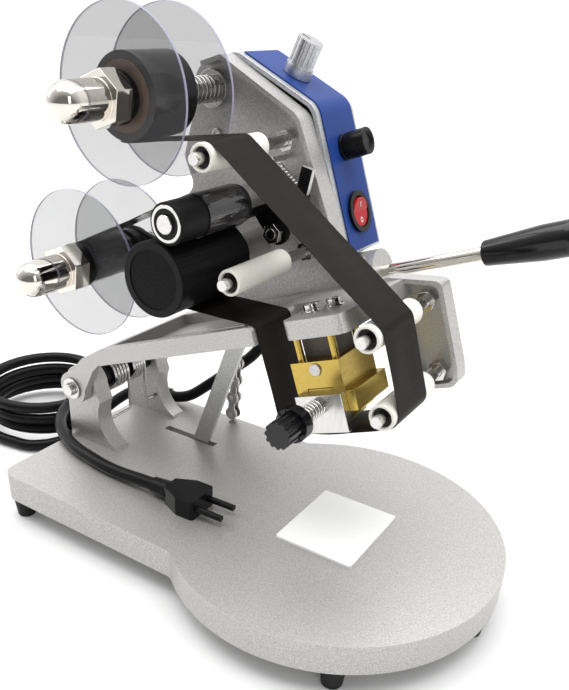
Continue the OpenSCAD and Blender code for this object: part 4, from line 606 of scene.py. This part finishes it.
# %% A lathe for pieces whose axis crosses the machine
def turned_piece(name, profile, at, body, material, rim=None, rim_from=None, steps=96):
    """profile is a closed loop of (radius, y); faces beyond the radius rim_from get the rim's finish."""
    work = bmesh.new()
    rings = [[work.verts.new(on_arm(at[0] + r * math.cos(math.tau * k / steps), y,
                                    at[1] + r * math.sin(math.tau * k / steps))) for r, y in profile]
             for k in range(steps)]
    for k in range(steps):
        ring, after = rings[k], rings[(k + 1) % steps]
        for i in range(len(profile)):
            j = (i + 1) % len(profile)
            face = work.faces.new((ring[i], ring[j], after[j], after[i]))
            if rim and min(profile[i][0], profile[j][0]) > rim_from:
                face.material_index = 1
    mesh = mesh_of(work, name)
    soften(mesh, 30)
    return put(name, mesh, body, material, *([rim] if rim else []))


def ring_profile(outer, inner, y0, y1, edge):
    return [(inner, y0), (outer - edge, y0), (outer, y0 + edge), (outer, y1 - edge), (outer - edge, y1), (inner, y1)]


print("a ring's profile has", len(ring_profile(2, 1, 0, 1, 0.1)), "corners")

# %% [markdown]
# The wound foil shows its layers at the roll's side as fine rings, so that finish reads the
# distance from the reel's own axis and turns it into thin bands of tone.

# %% A finish of wound layers
def layers(name, colour, at, roughness, spread, bands=5000.0, coat=0.0):
    material = bpy.data.materials.new(name)
    material.use_nodes = True
    nodes, links = material.node_tree.nodes, material.node_tree.links
    shader = nodes["Principled BSDF"]
    place = nodes.new("ShaderNodeTexCoord")
    centre = nodes.new("ShaderNodeMapping")
    point = on_arm(at[0], 0, at[1])
    centre.inputs["Location"].default_value = (-point.x, 0, -point.z)
    flat = nodes.new("ShaderNodeVectorMath")
    flat.operation = "MULTIPLY"
    flat.inputs[1].default_value = (1, 0, 1)
    far = nodes.new("ShaderNodeVectorMath")
    far.operation = "LENGTH"
    rings = nodes.new("ShaderNodeTexNoise")
    rings.noise_dimensions = "1D"
    rings.inputs["Scale"].default_value = bands
    tones = nodes.new("ShaderNodeValToRGB")
    tones.color_ramp.elements[0].position, tones.color_ramp.elements[1].position = 0.35, 0.65
    tones.color_ramp.elements[0].color = (*[v * (1 - spread) for v in colour], 1)
    tones.color_ramp.elements[1].color = (*[min(1, v * (1 + spread)) for v in colour], 1)
    shine = nodes.new("ShaderNodeMapRange")
    shine.inputs["To Min"].default_value = roughness * 1.3
    shine.inputs["To Max"].default_value = roughness * 0.8
    links.new(place.outputs["Object"], centre.inputs["Vector"])
    links.new(centre.outputs["Vector"], flat.inputs[0])
    links.new(flat.outputs["Vector"], far.inputs[0])
    links.new(far.outputs["Value"], rings.inputs["W"])
    links.new(rings.outputs["Fac"], tones.inputs["Fac"])
    links.new(rings.outputs["Fac"], shine.inputs["Value"])
    links.new(tones.outputs["Color"], shader.inputs["Base Color"])
    links.new(shine.outputs["Result"], shader.inputs["Roughness"])
    shader.inputs["Coat Weight"].default_value = coat
    return material


wound_skin = finish("wound_skin", (0.008, 0.0075, 0.0075), 0.0, 0.16, 60, 0.12, 0.02, (1, 0.25, 1), 0.8, ior=1.4)
card = layers("core_card", (0.23, 0.13, 0.07), SUPPLY, 0.6, 0.25, 2500)
new_foil = layers("wound_foil", (0.035, 0.03, 0.028), SUPPLY, 0.28, 0.5)
old_foil = layers("wound_used_foil", (0.035, 0.033, 0.036), TAKEUP, 0.14, 0.5, 5000, 0.6)
print("wound finishes:", card.name, new_foil.name, old_foil.name)

# %% Discs, core and rolls
DISC_R, DISC_Y, DISC_T, DISC_BORE, RIM_FROM = 41.5, 17.5, 1.6, 11.05, 40.5
CORE_R, CORE_Y, FILM_R, FILM_Y, USED_R, SKIN = 16.5, 17, 20.5, 16.5, 11.5, 0.2
for name, at, body in [("supply", SUPPLY, "supply_reel"), ("takeup", TAKEUP, "takeup_reel")]:
    for side, y0 in [("near", -DISC_Y - DISC_T), ("far", DISC_Y)]:
        disc = turned_piece(f"{name}_disc_{side}", ring_profile(DISC_R, DISC_BORE, y0, y0 + DISC_T, 0.25), at,
                            body, clear, clear_rim, RIM_FROM, 128)
        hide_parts(f"{name}_discs")
core = turned_piece("supply_core", ring_profile(CORE_R, DISC_BORE, -CORE_Y, CORE_Y, 0.2), SUPPLY, "supply_reel",
                    card)
film = turned_piece("supply_film", ring_profile(FILM_R, 16.45, -FILM_Y, FILM_Y, 0.15), SUPPLY, "supply_reel",
                    new_foil, wound_skin, FILM_R - SKIN)
used = turned_piece("takeup_film", ring_profile(USED_R, 9.05, -FILM_Y, FILM_Y, 0.15), TAKEUP, "takeup_reel",
                    old_foil, used_foil, USED_R - SKIN)
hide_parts("supply_roll")
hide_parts("supply_roll")
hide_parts("takeup_roll")

# %% [markdown]
# ## The foil's path
# The foil runs off the full reel over the front guide rollers, under the head, back between drive
# and pinch roller and onto the used reel. Its line is found as on the drawing board: an arc round
# every roller and a straight run between two arcs. Free runs get a slight wave, as film has.

# %% The foil's line round the rollers
NIP, NIP_REACH = math.radians(51.3), 30.85
PINCH = (DRIVE[0] + NIP_REACH * math.cos(NIP), DRIVE[1] + NIP_REACH * math.sin(NIP))
GUIDES, ON_GUIDE = [(150, 104.7), (146.3, 45.4), (215.5, 8.3), (214.3, -30.2)], 7.3
# Each row is a place on the arm, the radius on which the foil bends there, and the side it bends to
ROLLERS = [((SUPPLY[0] - 41, SUPPLY[1]), 0, 1), (SUPPLY, 21, 1), (GUIDES[0], ON_GUIDE, -1),
           (GUIDES[2], ON_GUIDE, -1), (GUIDES[3], ON_GUIDE, -1), ((HEAD_A, 61.1), 100, -1),
           ((160.9, -28.9), 9, -1), ((149, 19), 3.5, 1),
           (DRIVE, 20, -1), (PINCH, 10.8, 1), (TAKEUP, 12, 1), ((TAKEUP[0] - 11.5, TAKEUP[1] - 23), 0, 1)]


def heading(p, q):
    da, dc = q[0][0] - p[0][0], q[0][1] - p[0][1]
    return math.atan2(dc, da) + math.asin((p[2] * p[1] - q[2] * q[1]) / math.hypot(da, dc))


def wrap(roller, turn_in, turn_out, steps):
    (a, c), r, side = roller
    begin = turn_in - side * math.pi / 2
    swing = side * ((side * (turn_out - turn_in)) % math.tau)
    return [(a + r * math.cos(begin + swing * i / steps), c + r * math.sin(begin + swing * i / steps))
            for i in range(steps + 1)]


arcs = [wrap(ROLLERS[i], heading(ROLLERS[i - 1], ROLLERS[i]), heading(ROLLERS[i], ROLLERS[i + 1]), 16)
        for i in range(1, len(ROLLERS) - 1)]


def run(p, q, step=4.0):
    """The free run between two arcs, with how free each point is."""
    count = max(2, round(math.dist(p, q) / step))
    return [((p[0] + (q[0] - p[0]) * i / count, p[1] + (q[1] - p[1]) * i / count),
             math.sin(math.pi * i / count)) for i in range(1, count)]


def join(parts):
    points = []
    for i, arc in enumerate(parts):
        if i:
            points += run(parts[i - 1][-1], arc[0])
        points += [(p, 0.0) for p in arc]
    return points


print("arcs of the foil:", len(arcs))

# %% The foil as a thin band
FOIL_W, FOIL_T, ACROSS = 33.0, 0.25, 12


def foil_piece(name, points, body, skin, wave=0.35):
    """A thin closed band along the points, as wide as the foil."""
    work = bmesh.new()
    rows = []
    for i, ((a, c), free) in enumerate(points):
        before, after = points[max(i - 1, 0)][0], points[min(i + 1, len(points) - 1)][0]
        ta, tc = after[0] - before[0], after[1] - before[1]
        size = math.hypot(ta, tc)
        na, nc = -tc / size, ta / size
        row = []
        for half in (-0.5, 0.5):
            for k in range(ACROSS + 1):
                v = k / ACROSS
                lift = wave * free * math.sin(5.2 * v + 0.21 * i) * math.sin(2.1 * v - 0.13 * i + 1)
                shift = half * FOIL_T + lift
                row.append(work.verts.new(on_arm(a + na * shift, (v - 0.5) * FOIL_W, c + nc * shift)))
        rows.append(row[:ACROSS + 1] + row[:ACROSS:-1])
    for row, after in zip(rows, rows[1:]):
        for k in range(len(row)):
            j = (k + 1) % len(row)
            work.faces.new((row[k], row[j], after[j], after[k]))
    for row in (rows[0], rows[-1]):
        for k in range(ACROSS):
            work.faces.new((row[k], row[k + 1], row[-k - 2], row[-k - 1]))
    mesh = mesh_of(work, name)
    soften(mesh, 40)
    piece = put(name, mesh, body, skin)
    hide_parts("ribbon")
    return piece


main_run = foil_piece("foil_main", join(arcs[:7] + [arcs[7][:13]]), "arm", foil)
nip_run = foil_piece("foil_nip", join([arcs[7][12:]])[:-1] + join([arcs[8][:7]]), None, used_foil)
last_run = foil_piece("foil_to_reel", join([arcs[8][6:], arcs[9]]), None, used_foil)
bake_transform(nip_run)
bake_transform(last_run)
print("foil in view:", len(main_run.data.vertices), "points")

# %% [markdown]
# ## The feed chain
# A roller chain of half-inch pitch runs from its anchor up to the sprocket. Its outer and inner
# plates take turns, so one pair of each is shaped with the waist of a real link, and a node tree
# repeats it along the chain's line.

# %% A node tree that repeats a shape along a line
row_tree, given, result = new_tree("row_along_a_line", ("Count", "Int"), ("Step", "Vector"), ("Finish", "Material"))
points = row_tree.nodes.new("GeometryNodeMeshLine")
spread = row_tree.nodes.new("GeometryNodeInstanceOnPoints")
row_tree.links.new(given["Count"], points.inputs["Count"])
row_tree.links.new(given["Step"], points.inputs["Offset"])
row_tree.links.new(points.outputs[0], spread.inputs["Points"])
row_tree.links.new(given["Shape"], spread.inputs["Instance"])
close_tree(row_tree, spread.outputs[0], given, result)


def row_of(name, mesh, count, step, material, body):
    made = grow(name, row_tree, mesh, Count=count, Step=tuple(step), Finish=material)
    soften(made, 30)
    return put(name, made, body)


print("tree:", row_tree.name)

# %% The chain's line and the edge of a plate
LEAN, PITCH, LINKS, PLATE_R, WAIST, PIN_R = math.radians(3), 12.7, 9, 4.5, 2.5, 1.6
CHAIN_FOOT = (-119.8, 68.5, 39)
chain_up = Vector((math.sin(LEAN), 0, math.cos(LEAN)))
chain_side = Vector((math.cos(LEAN), 0, -math.sin(LEAN)))
chain_foot = machine(*CHAIN_FOOT)


def on_chain(x, y, z):
    return chain_foot + (chain_side * x + Vector((0, y, 0)) + chain_up * z) * MM


def link_outline(steps=10):
    """Half a plate's edge, from its foot to its head, drawn with a waist."""
    edge = []
    for i in range(steps * 2 + 1):
        z = -PLATE_R + (PITCH + 2 * PLATE_R) * i / (steps * 2)
        near = min(abs(z), abs(z - PITCH))
        outside = z < 0 or z > PITCH
        half = math.sqrt(max(PLATE_R ** 2 - near ** 2, 0)) if outside else max(
            math.sqrt(max(PLATE_R ** 2 - near ** 2, 0)), WAIST + 0.35 * (near / (PITCH / 2) - 1) ** 2)
        edge.append((half, z))
    return edge


print("a plate's edge has", len(link_outline()), "points")


# %% Plates and pins
def plates(name, half_gap, thickness=1.0):
    work = bmesh.new()
    edge = link_outline()
    outline = edge[1:-1] + [(-x, z) for x, z in edge[1:-1][::-1]]
    outline = [(0, edge[0][1])] + outline[:len(outline) // 2] + [(0, edge[-1][1])] + outline[len(outline) // 2:]
    for y0 in (half_gap, -half_gap - thickness):
        low = [work.verts.new(on_chain(x, y0, z)) for x, z in outline]
        high = [work.verts.new(on_chain(x, y0 + thickness, z)) for x, z in outline]
        work.faces.new(low)
        work.faces.new(high)
        for k in range(len(low)):
            j = (k + 1) % len(low)
            work.faces.new((low[k], low[j], high[j], high[k]))
    bmesh.ops.recalc_face_normals(work, faces=work.faces)
    bmesh.ops.bevel(work, geom=[e for e in work.edges if e.calc_face_angle(0) > 1.2], offset=0.15 * MM, segments=1,
                    affect="EDGES")
    mesh = bpy.data.meshes.new(name)
    work.to_mesh(mesh)
    work.free()
    return mesh


def pin_mesh(name, radius, half):
    """A pin with a domed rivet head at each end, across the chain."""
    work = bmesh.new()
    profile = [(0, -half - 0.35), (radius * 0.7, -half - 0.2), (radius, -half), (radius, half),
               (radius * 0.7, half + 0.2), (0, half + 0.35)]
    rings = [[work.verts.new(on_chain(r * math.cos(math.tau * k / 20), y, r * math.sin(math.tau * k / 20)))
              for k in range(20)] if r else [work.verts.new(on_chain(0, y, 0))] for r, y in profile]
    for ring, after in zip(rings, rings[1:]):
        for k in range(20):
            j = (k + 1) % 20
            corners = [ring[k % len(ring)], ring[j % len(ring)], after[j % len(after)], after[k % len(after)]]
            work.faces.new([v for i, v in enumerate(corners) if v not in corners[:i]])
    return mesh_of(work, name)


def moved(mesh, offset):
    mesh.transform(Matrix.Translation(offset))
    return mesh


print("chain of", LINKS, "links,", round(LINKS * PITCH), "mm")

# %% The chain
step = chain_up * PITCH * MM
chain_rows = [
    row_of("chain_outer_plates", plates("outer", 2.0), LINKS // 2 + 1, step * 2, steel, "chain"),
    row_of("chain_inner_plates", moved(plates("inner", 0.85), step), LINKS // 2, step * 2, steel, "chain"),
    row_of("chain_pins", pin_mesh("pin", PIN_R, 3.0), LINKS + 1, step, bright_steel, "chain"),
    row_of("chain_rollers", pin_mesh("roller", 2.6, 0.5), LINKS + 1, step, bright_steel, "chain")]
for piece in chain_rows:
    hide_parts("feed_chain")
print("chain pieces:", [p.name for p in chain_rows])

# %% [markdown]
# ## Small fittings
# What the eye looks for at close range: washers under the flange screws, the ends of the pinch
# and drive rollers, black rings at the guide rollers' bolts, the bare steel edge of the pinch
# lever's tab, the line on the knob and the marks on the switch.

# %% Washers under the flange screws
def washer_mesh(name, a, y, c, inner, outer, thickness):
    """A flat washer that lies on the arm's top face."""
    work = bmesh.new()
    rings = []
    for r, h in [(inner, 0), (outer, 0), (outer, thickness - 0.15), (outer - 0.15, thickness), (inner, thickness)]:
        rings.append([work.verts.new(on_arm(a + r * math.cos(math.tau * k / 40), y + r * math.sin(math.tau * k / 40),
                                            c + h)) for k in range(40)])
    for i, ring in enumerate(rings):
        after = rings[(i + 1) % len(rings)]
        for k in range(40):
            work.faces.new((ring[k], ring[(k + 1) % 40], after[(k + 1) % 40], after[k]))
    return mesh_of(work, name)


WASHER_A, WASHER_Y, FLANGE_TOP, WASHER_APART = 179, -3, 22.02, (9.947, 6)
washer_step = along * WASHER_APART[0] * MM + Vector((0, WASHER_APART[1] * MM, 0))
washers = row_of("flange_washers", washer_mesh("washer", WASHER_A, WASHER_Y, FLANGE_TOP, 3.7, 5.2, 0.8), 2,
                 washer_step, nickel, "arm")
print("washers:", washers.name)

# %% Roller ends, clips and the lever's tab
PRESS_Y0, TAB_LEVEL = -37.5, 76.5
CLIP_R, CLIP_BORE, CLIP_Y0, CLIP_Y1 = 4.85, 3.05, -18.45, -17.25


def end_ring(name, at, body, material, outer, inner, y0, y1, edge):
    """A ring at the rollers' near ends; y0 and y1 are counted from there."""
    turned_piece(name, ring_profile(outer, inner, PRESS_Y0 + y0, PRESS_Y0 + y1, edge), at, body, material)


end_ring("pinch_end_ring", PINCH, "pinch", bright_steel, 9.0, 7.45, -0.5, 0.2, 0.2)
end_ring("pinch_bearing_seal", PINCH, "pinch", black, 7.45, 4.8, -0.25, 0.2, 0.1)
end_ring("pinch_pin_end", PINCH, "lever", bright_steel, 4.62, 0.04, -2.1, -0.4, 0.35)
for k, spot in enumerate(GUIDES):
    turned_piece(f"guide_clip_{k + 1}", ring_profile(CLIP_R, CLIP_BORE, CLIP_Y0, CLIP_Y1, 0.1), spot, "arm", black)
lever_mesh = finished["pinch_lever"].data
lever_mesh.materials.append(steel)
for face in lever_mesh.polygons:
    if (face.center - on_arm(0, 0, 0)).dot(upward) > TAB_LEVEL * MM:
        face.material_index = 1
end_ring("drive_end_rim", DRIVE, "drive", smooth_rubber, 19.2, 15.4, -0.5, 0.2, 0.25)
print("clips:", len(GUIDES), "steel faces on the lever:", sum(f.material_index for f in lever_mesh.polygons))

# %% The line on the knob
AXIS_Y, KNOB, KNOB_FOOT, KNOB_FACE, LINE_OFF = 83.25, (148.5, 136.5), 1.1, 19.02, 3.4
knob_out = (along + upward).normalized()
knob_down = (along - upward).normalized()
knob_foot = on_arm(KNOB[0], AXIS_Y, KNOB[1]) + knob_out * KNOB_FOOT * MM


def bar(name, centre, half_x, half_y, half_z, x, y, z, body, material):
    """A small bar with broken edges, along three directions."""
    work = bmesh.new()
    bmesh.ops.create_cube(work, size=2)
    for v in work.verts:
        v.co = centre + (x * v.co.x * half_x + y * v.co.y * half_y + z * v.co.z * half_z) * MM
    bmesh.ops.bevel(work, geom=list(work.edges), offset=min(half_x, half_y, half_z) * 0.4 * MM, segments=2,
                    affect="EDGES")
    mesh = mesh_of(work, name)
    soften(mesh, 40)
    return put(name, mesh, body, material)


across = Vector((0, 1, 0))
bar("knob_pointer", knob_foot + knob_out * KNOB_FACE * MM - knob_down * LINE_OFF * MM, 2.8, 0.45, 0.08, knob_down,
    across, knob_out, "knob", black)
print("knob marked")

# %% Marks on the switch
# The rocker rests tipped by 8 degrees, whose cosine and sine these are; V_RISE is its face's slope
TIP_COS, TIP_SIN, V_RISE, MARK_AT, MARK_HEIGHT = 0.990, 0.139, 0.119, 4.3, 2.56
FRONT_A, SWITCH_C, ROCKER_BACK = 168.8, 58, 0.5
switch_out = (along * TIP_COS - upward * TIP_SIN).normalized()
switch_up = (along * TIP_SIN + upward * TIP_COS).normalized()
switch_mid = on_arm(FRONT_A - ROCKER_BACK, AXIS_Y, SWITCH_C)


def face_at(side):
    """Where a mark lies on the rocker's shallow V, and the directions of its face there."""
    slope = (switch_up * side + switch_out * V_RISE).normalized()
    place = switch_mid + (switch_up * MARK_AT * side + switch_out * MARK_HEIGHT) * MM
    return place, slope, across.cross(slope) * -side


def ring_mark(name, centre, x, y, z, radius, width, lift, body, material, longer=1.25):
    """A flat oval ring, for the O of the switch."""
    work = bmesh.new()
    rings = [[work.verts.new(centre + (x * math.cos(math.tau * k / 32) * rad * longer
                                       + y * math.sin(math.tau * k / 32) * rad + z * h) * MM)
              for k in range(32)]
             for rad, h in [(radius, 0), (radius, lift), (radius - width, lift), (radius - width, 0)]]
    for i, loop in enumerate(rings):
        after = rings[(i + 1) % 4]
        for k in range(32):
            work.faces.new((loop[k], loop[(k + 1) % 32], after[(k + 1) % 32], after[k]))
    mesh = mesh_of(work, name)
    soften(mesh, 40)
    return put(name, mesh, body, material)


spot, slope, out = face_at(1)
bar("switch_mark_on", spot, 1.5, 0.22, 0.07, slope, across, out, "rocker", white_mark)
spot, slope, out = face_at(-1)
ring_mark("switch_mark_off", spot, slope, across, out, 1.25, 0.42, 0.07, "rocker", white_mark)
print("switch marked")

# %% [markdown]
# ## The studio
# The photograph was cut out on white. A large flat floor of pale paper carries the machine. Far
# from it the paper glows a little, so that the floor stays white up to the horizon.

# %% The floor
backdrop = bpy.data.materials.new("studio_paper")
backdrop.use_nodes = True
paper = backdrop.node_tree.nodes["Principled BSDF"]
paper.inputs["Base Color"].default_value = (0.74, 0.74, 0.74, 1)
paper.inputs["Roughness"].default_value = 0.9
paper.inputs["Emission Color"].default_value = (1, 1, 1, 1)
spread_out = backdrop.node_tree.nodes.new("ShaderNodeTexCoord")
how_far = backdrop.node_tree.nodes.new("ShaderNodeVectorMath")
how_far.operation = "LENGTH"
glow = backdrop.node_tree.nodes.new("ShaderNodeMapRange")
for socket, value in [("From Min", 0.35), ("From Max", 2.0), ("To Min", 0.05), ("To Max", 0.5)]:
    glow.inputs[socket].default_value = value
backdrop.node_tree.links.new(spread_out.outputs["Object"], how_far.inputs[0])
backdrop.node_tree.links.new(how_far.outputs["Value"], glow.inputs["Value"])
backdrop.node_tree.links.new(glow.outputs["Result"], paper.inputs["Emission Strength"])
sheet = bpy.data.meshes.new("studio_floor")
SHEET, FLOOR_DROP = 6.0, 0.0002
corners = [(-SHEET, -SHEET, 0), (SHEET, -SHEET, 0), (SHEET, SHEET, 0), (-SHEET, SHEET, 0)]
sheet.from_pydata([Vector(c) - Vector((0, 0, FLOOR_DROP)) for c in corners], [], [(0, 1, 2, 3)])
floor = bpy.data.objects.new("studio_floor", sheet)
bpy.context.scene.collection.objects.link(floor)
sheet.materials.append(backdrop)
print("studio floor", 2 * SHEET, "m wide")

# %% [markdown]
# The sky is bright behind and above the machine and dim on the side that it was photographed
# from, so bright metal has something dark to mirror. Three soft lights stand round the machine: a
# large one above it, and a small one on each side.

# %% The sky
world = bpy.data.worlds.new("studio")
bpy.context.scene.world = world
world.use_nodes = True
sky = world.node_tree.nodes
direction = sky.new("ShaderNodeTexCoord")
toward = sky.new("ShaderNodeVectorMath")
toward.operation = "DOT_PRODUCT"
toward.inputs[1].default_value = Vector((forward.x, forward.y, 0.5)).normalized()
glare = sky.new("ShaderNodeMapRange")
for socket, value in [("From Min", -0.45), ("From Max", 0.5), ("To Min", 0.2), ("To Max", 1.12)]:
    glare.inputs[socket].default_value = value
world.node_tree.links.new(direction.outputs["Generated"], toward.inputs[0])
world.node_tree.links.new(toward.outputs["Value"], glare.inputs["Value"])
world.node_tree.links.new(glare.outputs["Result"], sky["Background"].inputs["Strength"])
sky["Background"].inputs["Color"].default_value = (1, 1, 1, 1)
bpy.context.scene.view_settings.view_transform = "Standard"
print("sky:", world.name)


# %% Soft lights
def softbox(name, at, aim, size, power):
    lamp = bpy.data.lights.new(name, "AREA")
    lamp.shape = "RECTANGLE"
    lamp.size, lamp.size_y = size
    lamp.energy = power
    holder = bpy.data.objects.new(name, lamp)
    bpy.context.scene.collection.objects.link(holder)
    holder.matrix_world = (Matrix.Translation(at)
                           @ (Vector(aim) - Vector(at)).to_track_quat("-Z", "Y").to_matrix().to_4x4())
    return holder


softbox("light_above", (-0.05, 0.1, 1.5), (0, 0, 0.1), (2.0, 1.6), 30)
softbox("light_left", (-1.2, -0.3, 0.9), (-0.1, 0, 0.1), (0.5, 0.9), 4)
softbox("light_right", (1.2, -0.7, 0.7), (0, 0, 0.1), (0.3, 0.9), 3)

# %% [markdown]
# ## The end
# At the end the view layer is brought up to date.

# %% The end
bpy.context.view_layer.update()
